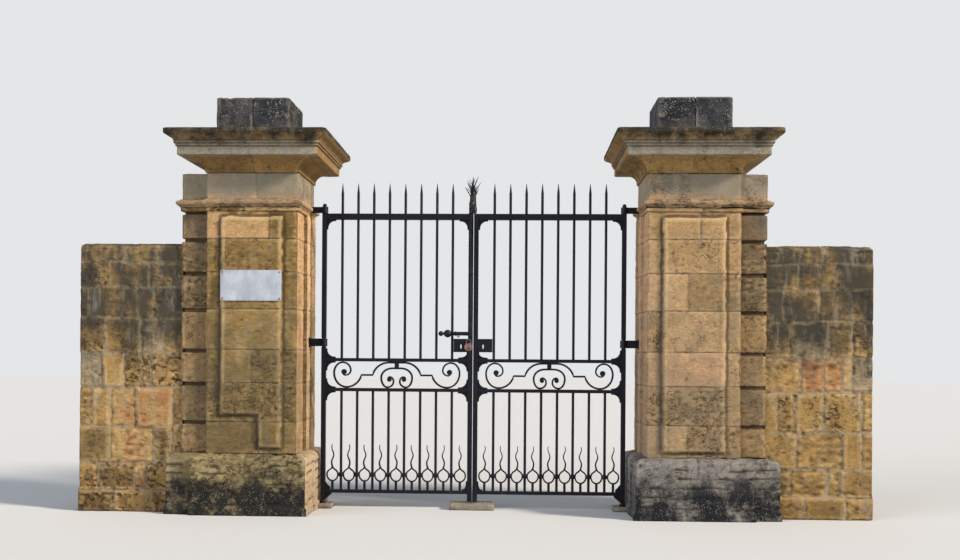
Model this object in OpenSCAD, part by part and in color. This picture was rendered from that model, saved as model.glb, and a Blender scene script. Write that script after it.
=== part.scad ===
// Wrought iron driveway gate: two leaves hung between sandstone piers.
// X runs along the gate, -Y is the street side, Z is up.
// The origin is the centre of the left pier's foot.

/* [Opening] */
// Clear width between the shafts of the two piers
opening_w = 3000; // [2700:10:3400]
// Distance of each hinge axis from the footing of its pier
hinge_in = 35; // [34:1:60]
// Plane of the closed gate behind the middle of the piers
gate_y = 80; // [20:5:140]

/* [Pier] */
// Width of the pier's shaft
pier_w = 800; // [700:10:950]
// Depth of the pier's shaft
pier_d = 700; // [620:10:900]
// Height of the footing course
footing_h = 70; // [40:5:100]
// Reach of the footing beyond the plinth
footing_out = 15; // [5:1:30]
// Height of the plinth's upright face
plinth_h = 464; // [400:2:520]
// Height of the moulding on top of the plinth
plinth_cap_h = 56; // [40:2:80]
// Reach of the plinth beyond the shaft
plinth_out = 100; // [80:2:110]
// Height of the shaft from the plinth to its fillet
shaft_h = 2100; // [1900:10:2300]
// Height of the fillet that ends the shaft
fillet_h = 34; // [20:1:50]
// Reach of that fillet beyond the shaft
fillet_out = 12; // [6:1:20]
// Width of the groove in the reveal
groove_w = 40; // [20:1:60]
// Depth of the groove in the reveal
groove_d = 30; // [15:1:50]
// Distance of the groove from the pier's front
groove_y = 280; // [200:5:320]
// Step of the jamb behind the groove, into the opening
jamb_out = 20; // [10:1:28]
// Step of the plinth's jamb behind the groove, into the opening
plinth_jamb_out = 8; // [0:1:12]
// Plain margin on each side of the raised panel
panel_margin = 135; // [100:5:180]
// Plain band under the raised panel
panel_foot = 50; // [30:5:100]
// Plain band over the raised panel
panel_head = 50; // [30:5:100]
// Height that the raised panel stands proud
panel_out = 25; // [10:1:40]
// Height of the lost bottom course of the left panel
lost_h = 290; // [150:5:320]
// Share of that course that is still there
lost_keep_w = 200; // [150:5:300]

/* [Frieze and cornice] */
// Height of the flat bands above and below the neck roll
neck_band_h = 12; // [6:1:20]
// Height of the neck roll
neck_roll_h = 50; // [30:2:70]
// Height of the plain frieze above the neck
frieze_h = 222; // [180:2:280]
// Height of the hollow bed mould
bed_h = 118; // [90:2:150]
// Reach of the bed mould
bed_out = 120; // [80:2:140]
// Reach of the flat face above it
corona_out = 200; // [170:2:220]
// Height of the flat face
corona_h = 73; // [50:1:100]
// Height of the two small steps over it
step_h = 23; // [15:1:30]
// Reach of the crowning mould
crown_out = 290; // [270:2:310]
// Height of the crowning mould
crown_h = 56; // [40:1:80]
// Height of the cornice's lip
lip_h = 41; // [25:1:60]
// Width of the block on the cornice
cap_block_w = 640; // [500:10:780]
// Depth of that block
cap_block_d = 560; // [450:10:680]
// Height of that block
cap_block_h = 319; // [250:1:380]

/* [Quoins and wall] */
// Width of the quoin strip beside the pier
quoin_w = 230; // [180:5:300]
// Distance of the quoins' faces behind the pier's front
quoin_back = 45; // [30:1:60]
// Depth of the joints between quoins
quoin_joint_d = 20; // [10:1:28]
// Height of those joints
quoin_joint_h = 22; // [12:1:30]
// Length of the wall built at each side
wall_l = 900; // [600:10:1500]
// Thickness of the wall
wall_t = 500; // [400:10:540]
// Height of the wall at its edges
wall_h = 2300; // [2000:10:2500]
// Rise of the wall's rounded top
wall_crown = 60; // [30:2:90]
// Height of the wall's base course
wall_base_h = 200; // [120:5:300]
// Reach of that base course
wall_base_out = 25; // [10:1:40]

/* [Plate] */
// Width of the plate on the left pier
plate_w = 530; // [400:5:530]
// Height of that plate
plate_h = 266; // [200:2:320]
// Thickness of that plate
plate_t = 12; // [6:1:20]
// Height of the plate's lower edge above the ground
plate_z = 1840; // [1600:5:2000]

/* [Leaf frame] */
// Thickness of the hinge stile
stile_w = 40; // [34:1:44]
// Width of the stile at the meeting line
meet_w = 42; // [36:1:50]
// Depth of the meeting stile
meet_d = 42; // [36:1:50]
// Gap between the two meeting stiles
meet_gap = 6; // [6:0.5:14]
// Depth of the rails from front to back
rail_d = 36; // [30:1:40]
// Height of the bottom and frieze rails
rail_h = 30; // [24:1:36]
// Height of the top rail
top_rail_h = 55; // [45:1:70]
// Height of the bottom rail's middle above the ground
bottom_rail_z = 148; // [130:1:170]
// Height of the lower frieze rail's middle
frieze_rail_z = 1065; // [1000:5:1100]
// Clear height of the frieze
frieze_clear = 240; // [240:1:246]
// Gap between the top rail's upper edge and the top strap
leaf_under_strap = 5; // [3:0.5:10]
// Gap under the meeting stiles, over the stone there
sill_gap = 12; // [6:1:30]
// Gap under the hinge stile, over the pivot cup
foot_gap = 8; // [4:1:20]
// Thickness of the corner plates
gusset_t = 12; // [8:1:16]
// Reach of the corner plates along a rail
gusset_w = 88; // [70:1:92]
// Reach of the corner plates along a stile
gusset_h = 84; // [60:1:86]
// Size of the square steps at a corner plate's ends
gusset_step = 12; // [6:1:16]
// Gap between the plates over the bottom rail and the end drop rings' stems
foot_plate_gap = 8; // [4:1:20]
// Rise of those plates along the stile
foot_plate_h = 72; // [50:1:90]

/* [Bars] */
// Number of upright bars in a leaf
bars = 8; // [6:1:9]
// Diameter of the upright bars
bar_d = 24; // [18:1:28]
// Height of the upper bars' points above the top rail
point_over = 275; // [180:5:300]
// Height of the taper to each point
point_h = 90; // [40:5:140]
// Height of the buttons' middles above the ground
button_z = 298; // [290:1:330]
// Diameter of the buttons that hold the drop rings
button_d = 48; // [36:1:54]
// Gap between a drop ring and the bars beside it
drop_gap = 3.3; // [2:0.1:8]
// Width of the strap of a drop ring, seen from the front
drop_strap = 13; // [8:1:15]
// Depth of the drop rings from front to back
drop_d = 16; // [10:1:18]
// Rise of a drop ring's point above its round
drop_point = 21.5; // [14:0.5:30]
// Depth that a drop ring's round hangs below a true circle
drop_hang = 9; // [0:1:12]
// Width of the stem under a drop ring
stem_w = 22; // [14:1:26]
// Height of a button's rim and of its dome
button_rim = 4; // [2:0.5:6]
button_dome = 6; // [3:0.5:9]
// Height of the flames' tips above the ground
flame_z = 568; // [480:2:620]
// Sideways swing of a flame
flame_swing = 11; // [4:1:16]
// Width of a flame at its tip
flame_tip = 6; // [3:1:9]

/* [Frieze scrolls] */
// Width of the scroll bars at their middle, seen from the front
scroll_w = 17; // [12:0.5:20]
// Width of the scroll bars at their eyes
scroll_end_w = 12; // [8:0.5:14]
// Depth of the scroll bars from front to back
scroll_d = 22; // [16:1:30]
// Diameter of the eye of a large scroll
large_eye_d = 48; // [36:1:52]
// Diameter of the eye of a small scroll
small_eye_d = 40; // [30:1:42]

/* [Hinges] */
// Diameter of the turned stretches of the hinge stiles
journal_d = 36; // [30:1:39]
// Outer diameter of the hinge collars
collar_d = 62; // [54:1:70]
// Height of the middle collar and its strap
mid_strap_h = 70; // [50:1:80]
// Height of the middle strap's middle above the frieze
mid_strap_over = 140; // [130:5:200]
// Thickness of the middle strap's flange on the jamb
flange_t = 10; // [6:1:16]
// Width of that flange
flange_w = 90; // [60:2:120]
// Reach of that flange over and under the strap
flange_over = 8; // [4:1:20]
// Height of the top collar and its strap
top_strap_h = 55; // [40:1:60]
// Height of that strap above the pier's fillet
top_strap_over = 6; // [2:1:20]
// Thickness of the straps
strap_t = 16; // [10:1:24]
// Length of the pin above the top collar
pin_over = 29; // [10:1:50]
// Depth of the strap's tail in the stone
tail_l = 60; // [30:5:100]
// Diameter of the foot pin of a hinge stile
foot_pin_d = 28; // [20:1:34]
// Outer diameter of the cup for that pin
cup_d = 56; // [46:1:66]
// Height of the cup
cup_h = 24; // [16:1:36]
// Thickness of the cup's floor
cup_floor = 6; // [3:1:10]
// Reach of the pivot stone beyond the hinge axis, into the opening
pivot_stone_in = 90; // [60:5:150]
// Depth of the pivot stone from front to back
pivot_stone_d = 190; // [120:10:240]
// Height of the pivot stones
pivot_stone_h = 38; // [25:1:45]
// Width of the stone under the meeting stiles
sill_stone_w = 400; // [250:10:600]
// Depth of that stone
sill_stone_d = 200; // [140:10:300]
// Height of that stone
sill_stone_h = 56; // [40:1:58]

/* [Bolt and locks] */
// Diameter of the turning bolt rod
rod_d = 20; // [16:1:24]
// Distance of the rod's axis in front of the gate plane
rod_y = 40; // [38:1:46]
// Gap between the lock case's top and the rod's lower end
rod_over = 26; // [20:1:40]
// Height of the lever above the rod's lower end
lever_over = 20; // [18:1:40]
// Reach of the lever to its end ball
lever_l = 267; // [200:1:285]
// Distance from the end ball to the large ball
ball_gap = 60; // [50:1:80]
// Diameter of the lever's large ball
large_ball_d = 70; // [50:1:74]
// Diameter of the lever's end ball
end_ball_d = 46; // [30:1:50]
// Height of the lever bar
lever_h = 30; // [20:1:34]
// Thickness of the lever bar
lever_t = 14; // [10:1:18]
// Height of the lock cases
lock_h = 120; // [90:1:140]
// Depth of the lock cases from front to back
lock_d = 40; // [30:1:40]
// Height of the lock cases above the frieze
lock_over = 60; // [45:1:80]
// Distance of the left keyhole from the meeting stile
left_key_in = 63; // [55:1:70]
// Distance of the right keyhole from the meeting stile
right_key_in = 46; // [30:1:70]
// Height of the keyholes above the lock cases' lower edges
key_over = 32.4; // [20:0.2:45]
// Width of a keyhole
keyhole_w = 12; // [8:1:16]
// Height of a keyhole
keyhole_h = 36; // [24:1:44]
// Diameter of the padlock's body
padlock_d = 72; // [60:1:78]
// Thickness of the padlock's body
padlock_t = 26; // [20:1:30]
// Height of the padlock's middle above the lock case's lower edge
padlock_over = 46; // [40:1:50]
// Diameter of the padlock's shackle
shackle_d = 10; // [7:0.5:12]
// Distance between the middles of the shackle's legs
shackle_w = 40; // [30:1:46]
// Height of the straight legs of the shackle that show
shackle_h = 14; // [8:1:18]

/* [Thistle] */
// Height of the thistle's trunk
trunk_h = 150; // [110:5:180]
// Diameter of the trunk at its foot
trunk_d = 60; // [46:1:60]
// Narrowing of the trunk over its height
trunk_taper = 12; // [8:1:24]
// Distance of the trunk's middle from the meeting line
trunk_in = 9; // [6:1:24]
// Gap between the trunk and the other leaf's stile, which it reaches over
trunk_over = 6; // [5:0.5:10]
// Height of the spike on the trunk
spike_h = 185; // [120:5:200]
// Radius of the bend of the side spikes
bend_r = 150; // [120:5:180]
// Height between the three rings of side spikes
ring_h = 45; // [30:1:50]
// Length of a side spike beyond its bend
side_spike_l = 57; // [40:1:70]

/* [Hidden] */
$fn = 32;

stone_color = "#C59A5A";
plinth_color = "#8A8378";
cornice_color = "#A69A7E";
block_color = "#3F3D3F";
iron_color = "#1F2433";
rust_color = "#A0695A";

// Play between pieces that turn in or pass through each other
play = 0.3;
// Sides of each round bar
bar_sides = 24;
// Steps along a quarter of a scroll
quarter_steps = 7;

centre_x = opening_w / 2 + pier_w / 2;
reveal_x = opening_w / 2;
pier_out_x = reveal_x + pier_w;
front_y = -pier_d / 2;
quoin_out_x = pier_out_x + quoin_w;
wall_out_x = quoin_out_x + wall_l;
jamb_x = reveal_x - jamb_out;
plinth_jamb_x = reveal_x - plinth_out - plinth_jamb_out;

shaft_z = plinth_h + plinth_cap_h;
fillet_z = shaft_z + shaft_h;
neck_z = fillet_z + fillet_h;
frieze_z = neck_z + 2 * neck_band_h + neck_roll_h;
bed_z = frieze_z + frieze_h;
corona_z = bed_z + bed_h;
steps_z = corona_z + corona_h;
crown_z = steps_z + 2 * step_h;
lip_z = crown_z + crown_h;
cap_z = lip_z + lip_h;
panel_z = shaft_z + panel_foot;
panel_h = shaft_h - panel_foot - panel_head;
panel_w = pier_w - 2 * panel_margin;
quoin_y = pier_d / 2 - quoin_back;
// Heights of the masonry courses above the plinth: shares of the shaft as measured
course_shares = [275, 335, 290, 350, 320, 290] / 2100;
course_h = course_shares * shaft_h;
function course_z(i) = i == 0 ? shaft_z : course_z(i - 1) + course_h[i - 1];

hinge_x = reveal_x - plinth_out - footing_out - hinge_in;
top_strap_z = neck_z + top_strap_over;
leaf_top = top_strap_z - leaf_under_strap;
meet_foot = sill_stone_h + sill_gap;
hinge_foot = pivot_stone_h + cup_h + foot_gap;
frieze_low = frieze_rail_z + rail_h / 2;
frieze_top = frieze_low + frieze_clear;
lock_z = frieze_top + rail_h + lock_over;
mid_strap_z = frieze_top + rail_h + mid_strap_over;
rod_foot = lock_z + lock_h + rod_over;
lever_z = rod_foot + lever_over;
padlock_z = lock_z + padlock_over;
point_z = leaf_top + point_over;
bottom_rail_top = bottom_rail_z + rail_h / 2;
top_rail_low = leaf_top - top_rail_h;
hinge_face = hinge_x - stile_w / 2;
meet_face = meet_gap / 2 + meet_w;
leaf_clear = hinge_face - meet_face;
leaf_mid = (hinge_face + meet_face) / 2;
bar_pitch = leaf_clear / (bars + 1);
function bar_x(i) = meet_face + i * bar_pitch;
// Middle of the clear space on the hinge side of bar i
function bay_x(i) = let(
    near = i == 0 ? meet_face : bar_x(i) + bar_d / 2,
    far = i == bars ? hinge_face : bar_x(i + 1) - bar_d / 2)
    (near + far) / 2;
drop_w = bar_pitch - bar_d - 2 * drop_gap;
foot_plate_w = (bar_pitch - bar_d / 2 - stem_w) / 2 - foot_plate_gap;
pin_top = top_strap_z + top_strap_h + pin_over;
mid_low = mid_strap_z - mid_strap_h / 2;
strap_end_x = reveal_x + tail_l;
guide_wall = 7;
rod_x = meet_gap / 2 + rod_d / 2 + guide_wall;
rod_under = 8;
rod_top = leaf_top - rod_under;
guide_h = 60;
low_guide_over = 45;
high_guide_under = 240;
guide_zs = [lever_z + low_guide_over, (lever_z + rod_top) / 2, rod_top - high_guide_under];

// Everything below is drawn from the middle of the opening and moved to the row's origin
module from_opening() {
    translate([centre_x, 0, 0]) children();
}

module left_side() {
    from_opening() mirror([1, 0, 0]) children();
}

module right_side() {
    from_opening() children();
}

module slab(low, high) {
    translate(low) cube(high - low);
}

// Plates drawn in the gate's plane, t thick about that plane
module in_gate_plane(t) {
    translate([0, gate_y + t / 2, 0]) rotate([90, 0, 0]) linear_extrude(t) children();
}

// Both halves of an upright outline that stands out from two faces a and b
function two_sided(profile, a, b) = concat(
    [for (p = profile) [b + p[0], p[1]]],
    [for (i = [len(profile) - 1:-1:0]) [a - profile[i][0], profile[i][1]]]);

// A block whose four sides carry one moulding, mitred at the corners
module moulded_block(x0, x1, y0, y1, profile) {
    reach = max([for (p = profile) p[0]]) + 1;
    intersection() {
        translate([0, y1 + reach, 0]) rotate([90, 0, 0]) linear_extrude(y1 - y0 + 2 * reach)
            polygon(two_sided(profile, x0, x1));
        translate([x0 - reach, 0, 0]) rotate([90, 0, 90]) linear_extrude(x1 - x0 + 2 * reach)
            polygon(two_sided(profile, y0, y1));
    }
}

plinth_profile = [[plinth_out + footing_out, 0], [plinth_out + footing_out, footing_h],
    [plinth_out, footing_h], [plinth_out, plinth_h],
    for (i = [1:6]) let(t = i * 15) [plinth_out * cos(t), plinth_h + plinth_cap_h * sin(t)]];

module quoin_plinth() {
    moulded_block(reveal_x + pier_w / 2, quoin_out_x, -quoin_y, quoin_y, plinth_profile);
}

module pier_plinth() {
    color(plinth_color) difference() {
        union() {
            moulded_block(reveal_x, pier_out_x, -pier_d / 2, pier_d / 2, plinth_profile);
            quoin_plinth();
            slab([plinth_jamb_x, front_y + groove_y + groove_w, 0],
                [reveal_x, pier_d / 2, plinth_h]);
            slab([jamb_x, front_y + groove_y + groove_w, 0], [reveal_x, pier_d / 2, shaft_z]);
        }
        slab([reveal_x - plinth_out - footing_out - 1, front_y + groove_y, -1],
            [reveal_x - plinth_out + groove_d, front_y + groove_y + groove_w, shaft_z + 1]);
    }
}

shaft_plan = [[reveal_x, -pier_d / 2], [pier_out_x, -pier_d / 2], [pier_out_x, pier_d / 2],
    [jamb_x, pier_d / 2], [jamb_x, front_y + groove_y + groove_w],
    [reveal_x + groove_d, front_y + groove_y + groove_w],
    [reveal_x + groove_d, front_y + groove_y], [reveal_x, front_y + groove_y]];

module raised_panel(lost) {
    x0 = reveal_x + panel_margin;
    z1 = panel_z + panel_h;
    low = lost ? panel_z + lost_h : panel_z;
    slab([x0, front_y - panel_out, low], [x0 + panel_w, front_y, z1]);
    if (lost) slab([x0, front_y - panel_out, panel_z], [x0 + lost_keep_w, front_y, low]);
    slab([x0, pier_d / 2, panel_z], [x0 + panel_w, pier_d / 2 + panel_out, z1]);
}

module pier_shaft(lost) {
    color(stone_color) {
        union() {
            translate([0, 0, shaft_z]) linear_extrude(shaft_h + fillet_h) polygon(shaft_plan);
            raised_panel(lost);
            slab([reveal_x - fillet_out, -pier_d / 2 - fillet_out, fillet_z],
                [pier_out_x + fillet_out, pier_d / 2 + fillet_out, neck_z]);
            slab([reveal_x + pier_w / 2, -quoin_y - fillet_out, fillet_z],
                [quoin_out_x + fillet_out, quoin_y + fillet_out, neck_z]);
        }
    }
}

neck_profile = [[0, neck_z], [neck_band_h + 8, neck_z], [neck_band_h + 8, neck_z + neck_band_h],
    for (i = [0:8]) let(a = -90 + i * 22.5, r = neck_roll_h / 2)
        [neck_band_h + 8 + r * cos(a), neck_z + neck_band_h + r + r * sin(a)],
    [neck_band_h + 8, frieze_z], [0, frieze_z], [0, bed_z]];

module pier_frieze() {
    color(stone_color) difference() {
        union() {
            moulded_block(reveal_x, pier_out_x, -pier_d / 2, pier_d / 2, neck_profile);
            moulded_block(reveal_x + pier_w / 2, quoin_out_x, -quoin_y, quoin_y, neck_profile);
        }
        slab([reveal_x - 60, gate_y - strap_t / 2, top_strap_z],
            [strap_end_x, gate_y + strap_t / 2, top_strap_z + top_strap_h]);
    }
}

cornice_profile = [[0, bed_z], [12, bed_z], [12, bed_z + 15],
    for (i = [1:7]) let(t = i * 90 / 7)
        [bed_out - (bed_out - 12) * cos(t), bed_z + 15 + (bed_h - 25) * sin(t)],
    [bed_out, corona_z], [corona_out, corona_z], [corona_out, steps_z],
    [corona_out + 12, steps_z], [corona_out + 12, steps_z + step_h],
    [corona_out + 24, steps_z + step_h], [corona_out + 24, crown_z],
    for (i = [1:8]) let(t = i / 8)
        [corona_out + 24 + (crown_out - corona_out - 24) * (1 - cos(180 * t)) / 2,
            crown_z + crown_h * t],
    [crown_out, cap_z - 8], [crown_out - 14, cap_z]];

module pier_cornice() {
    color(cornice_color)
        moulded_block(reveal_x, pier_out_x, -pier_d / 2, pier_d / 2, cornice_profile);
}

// The block is two stones: a shallow joint marks their meeting
module pier_block() {
    x0 = reveal_x + (pier_w - cap_block_w) / 2;
    mid = reveal_x + pier_w / 2;
    joint = 8;
    color(block_color) difference() {
        slab([x0, front_y, cap_z], [x0 + cap_block_w, front_y + cap_block_d, cap_z + cap_block_h]);
        slab([mid - joint / 2, front_y - 1, cap_z - 1],
            [mid + joint / 2, front_y + joint, cap_z + cap_block_h + 1]);
        slab([mid - joint / 2, front_y - 1, cap_z + cap_block_h - joint],
            [mid + joint / 2, front_y + cap_block_d + 1, cap_z + cap_block_h + 1]);
    }
}

// Rusticated strip: its courses stand proud of deep flat joints
module quoins() {
    core_y = quoin_y - quoin_joint_d;
    color(stone_color) union() {
        slab([pier_out_x, -core_y, shaft_z], [quoin_out_x - 4, core_y, fillet_z]);
        for (i = [0:len(course_h)]) {
            top = i < len(course_h) ? course_z(i + 1) : fillet_z;
            slab([pier_out_x, -quoin_y, course_z(i)], [quoin_out_x, quoin_y, top - quoin_joint_h]);
        }
    }
}

wall_front = -quoin_y + quoin_joint_d + 5;

module boundary_wall() {
    mid_y = wall_front + wall_t / 2;
    color(stone_color) difference() {
        union() {
            translate([quoin_out_x, 0, 0]) rotate([90, 0, 90]) linear_extrude(wall_l)
                polygon([[wall_front, 0], [wall_front + wall_t, 0], [wall_front + wall_t, wall_h],
                    for (i = [1:7]) let(a = i * 22.5)
                        [mid_y + wall_t / 2 * cos(a), wall_h + wall_crown * sin(a)],
                    [wall_front, wall_h]]);
            slab([quoin_out_x, wall_front - wall_base_out, 0],
                [wall_out_x, wall_front + wall_t + wall_base_out, wall_base_h]);
        }
        quoin_plinth();
    }
}

module plate_blank() {
    x0 = reveal_x + panel_margin + (panel_w - plate_w) / 2;
    y1 = front_y - panel_out;
    color("#B9C0CC") slab([x0, y1 - plate_t, plate_z], [x0 + plate_w, y1, plate_z + plate_h]);
}

// A strap from the pier that ends in a collar round the hinge stile
module strap(z, h, end_x) {
    difference() {
        union() {
            translate([hinge_x, gate_y, z]) cylinder(d = collar_d, h = h);
            slab([hinge_x, gate_y - strap_t / 2, z], [end_x, gate_y + strap_t / 2, z + h]);
        }
        translate([hinge_x, gate_y, z - 1]) cylinder(d = journal_d + 2 * play, h = h + 2);
    }
}

module hinge_straps() {
    color(iron_color) {
        strap(top_strap_z, top_strap_h, strap_end_x);
        union() {
            strap(mid_low, mid_strap_h, jamb_x);
            slab([jamb_x - flange_t, gate_y - flange_w / 2, mid_low - flange_over],
                [jamb_x, gate_y + flange_w / 2, mid_low + mid_strap_h + flange_over]);
        }
    }
}

module pivot_stone() {
    color("#A79F90") slab([hinge_x - pivot_stone_in, gate_y - pivot_stone_d / 2, 0],
        [reveal_x - plinth_out - footing_out, gate_y + pivot_stone_d / 2, pivot_stone_h]);
}

module pivot_cup() {
    color(iron_color) translate([hinge_x, gate_y, pivot_stone_h]) difference() {
        cylinder(d = cup_d, h = cup_h);
        translate([0, 0, cup_floor]) cylinder(d = foot_pin_d + 2 * play, h = cup_h);
    }
}

module sill_stone() {
    color("#A79F90") from_opening() translate([-sill_stone_w / 2, gate_y, 0]) rotate([90, 0, 90])
        linear_extrude(sill_stone_w) polygon([[-sill_stone_d / 2, 0], [sill_stone_d / 2, 0],
            [sill_stone_d / 2, sill_stone_h - 20], [sill_stone_d / 2 - 25, sill_stone_h],
            [-sill_stone_d / 2 + 25, sill_stone_h], [-sill_stone_d / 2, sill_stone_h - 20]]);
}

// Square bar with turned stretches where the collars hold it, and a pin at each end
module hinge_stile() {
    h = stile_w / 2;
    color(iron_color) union() {
        slab([hinge_x - h, gate_y - h, hinge_foot], [hinge_x + h, gate_y + h, mid_low - 6]);
        translate([hinge_x, gate_y, mid_low - 7]) cylinder(d = journal_d, h = mid_strap_h + 14);
        slab([hinge_x - h, gate_y - h, mid_low + mid_strap_h + 6],
            [hinge_x + h, gate_y + h, leaf_top]);
        translate([hinge_x, gate_y, leaf_top - 1]) cylinder(d = journal_d, h = pin_top - leaf_top - 9);
        translate([hinge_x, gate_y, pin_top - 10]) cylinder(d1 = journal_d, d2 = journal_d - 14, h = 10);
        translate([hinge_x, gate_y, pivot_stone_h + cup_floor + play]) cylinder(d = foot_pin_d,
            h = hinge_foot + 1 - pivot_stone_h - cup_floor - play);
    }
}

module meeting_stile() {
    color(iron_color) slab([meet_gap / 2, gate_y - meet_d / 2, meet_foot],
        [meet_face, gate_y + meet_d / 2, leaf_top]);
}

module rail(z0, z1) {
    slab([meet_face, gate_y - rail_d / 2, z0], [hinge_face, gate_y + rail_d / 2, z1]);
}

module rails() {
    color(iron_color) {
        rail(bottom_rail_z - rail_h / 2, bottom_rail_top);
        rail(frieze_rail_z - rail_h / 2, frieze_low);
        rail(frieze_top, frieze_top + rail_h);
        difference() {
            rail(top_rail_low, leaf_top);
            for (i = [1:bars]) translate([bar_x(i), gate_y, top_rail_low - 1])
                cylinder(d = bar_d + 2 * play, h = top_rail_h + 2, $fn = bar_sides);
        }
    }
}

// Bars that run through the top rail to long points
module upper_bars() {
    color(iron_color) for (i = [1:bars]) translate([bar_x(i), gate_y, frieze_top + rail_h]) {
        union() {
            cylinder(d = bar_d, h = point_z - point_h - frieze_top - rail_h, $fn = bar_sides);
            translate([0, 0, point_z - point_h - frieze_top - rail_h])
                cylinder(d1 = bar_d, d2 = 3, h = point_h, $fn = bar_sides);
        }
    }
}

// A domed button on the front and the back of a bar, clear of the drop rings between them
module button_pair(x) {
    seat = drop_d / 2 + play;
    for (s = [-1, 1]) translate([x, gate_y + s * seat, button_z]) rotate([-90 * s, 0, 0]) {
        cylinder(d = button_d, h = button_rim, $fn = bar_sides);
        translate([0, 0, button_rim])
            cylinder(d1 = button_d, d2 = button_d * 0.45, h = button_dome, $fn = bar_sides);
    }
}

module lower_bars() {
    color(iron_color) for (i = [1:bars]) union() {
        translate([bar_x(i), gate_y, bottom_rail_top])
            cylinder(d = bar_d, h = frieze_rail_z - rail_h / 2 - bottom_rail_top, $fn = bar_sides);
        button_pair(bar_x(i));
    }
}

// Points of a quarter ellipse from p along d, turning towards e
function quarter_points(p, d, e, along, across) =
    [for (i = [1:quarter_steps]) let(t = 90 * i / quarter_steps)
        p + along * sin(t) * d + across * (1 - cos(t)) * e];

// A scroll's middle line: quarter after quarter, each sized [along, across]
function scroll_points(p, d, side, sizes, i = 0) = i == len(sizes) ? [] :
    let(e = side * [-d[1], d[0]], s = sizes[i])
    concat(quarter_points(p, d, e, s[0], s[1]),
        scroll_points(p + s[0] * d + s[1] * e, e, side, sizes, i + 1));

function reversed(path) = [for (i = [len(path) - 1:-1:0]) path[i]];
function flipped(path) = [for (p = reversed(path)) [-p[0], p[1]]];

// Outline of a bar of width w0 to w1 along a middle line
function bar_side(path, w0, w1, s) = [for (i = [0:len(path) - 1])
    let(a = path[max(i - 1, 0)], b = path[min(i + 1, len(path) - 1)], d = (b - a) / norm(b - a),
        w = w0 + (w1 - w0) * i / (len(path) - 1))
    path[i] + s * w / 2 * [-d[1], d[0]]];
// Half of a scroll bar's outline: full width in the middle, drawn down towards both eyes
function scroll_side(path, s) = [for (i = [0:len(path) - 1])
    let(a = path[max(i - 1, 0)], b = path[min(i + 1, len(path) - 1)], d = (b - a) / norm(b - a),
        t = 2 * i / (len(path) - 1) - 1, w = scroll_w - (scroll_w - scroll_end_w) * t * t)
    path[i] + s * w / 2 * [-d[1], d[0]]];
function scroll_outline(path) = concat(scroll_side(path, 1), reversed(scroll_side(path, -1)));
function bar_outline(path, w0, w1) =
    concat(bar_side(path, w0, w1, 1), reversed(bar_side(path, w0, w1, -1)));

scroll_low = scroll_w / 2;
scroll_high = frieze_clear - scroll_w / 2;
// The scrolls are drawn in units of the frieze's height, which was measured as 240 of them
unit = frieze_clear / 240;
// Left half of the long bar: volute, rise to the level step, rise to the upper rail
large_start = [187 * unit - leaf_clear / 2, scroll_low];
large_volute = scroll_points(large_start, [-1, 0], -1, [unit * [113, 127],
    [scroll_high - scroll_low - 127 * unit, 78 * unit], unit * [74, 70], unit * [46, 48],
    unit * [24, 24]]);
step_z = 118 * unit;
rise_end = -71 * unit;
rise_run = rise_end - large_start[0];
rise_1_l = rise_run * 136 / 384;
rise_2_l = rise_run * 147 / 384;
rise_1 = [for (i = [1:quarter_steps]) let(t = 76 * i / quarter_steps)
    large_start + [rise_1_l * sin(t) / sin(76),
        (step_z - scroll_low) * (1 - cos(t)) / (1 - cos(76))]];
rise_2 = [for (i = [0:quarter_steps]) let(t = 76 * (1 - i / quarter_steps))
    [rise_end - rise_2_l * sin(t) / sin(76),
        scroll_high - (scroll_high - step_z) * (1 - cos(t)) / (1 - cos(76))]];
large_half = concat(reversed(large_volute), [large_start], rise_1, rise_2);
large_path = concat(large_half, flipped(large_half));
large_eye = [large_start[0] - 22 * unit, 146 * unit];

small_h = 180 * unit;
small_start = [-40 * unit, small_h];
small_volute = scroll_points(small_start, [-1, 0], 1, [unit * [100, 84],
    [small_h - 84 * unit - scroll_low, 56 * unit], unit * [56, 52], unit * [42, 34],
    unit * [18, 22]]);
small_half = concat(reversed(small_volute), [small_start]);
small_path = concat(small_half, flipped(small_half));
small_eye = unit * [-66, 78];
hanger_w = 38 * unit;

module eye(p, d) {
    translate([p[0], scroll_d / 2 + 3, p[1]]) rotate([90, 0, 0])
        cylinder(d = d, h = scroll_d + 6, $fn = bar_sides);
}

module scrolls() {
    color(iron_color) translate([leaf_mid, gate_y, frieze_low]) union() {
        translate([0, scroll_d / 2, 0]) rotate([90, 0, 0]) {
            linear_extrude(scroll_d) polygon(scroll_outline(large_path));
            linear_extrude(scroll_d) polygon(scroll_outline(small_path));
        }
        for (s = [-1, 1]) {
            eye([s * large_eye[0], large_eye[1]], large_eye_d);
            eye([s * small_eye[0], small_eye[1]], small_eye_d);
        }
        slab([-hanger_w / 2, -scroll_d / 2, small_h], [hanger_w / 2, scroll_d / 2, frieze_clear]);
    }
}

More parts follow.
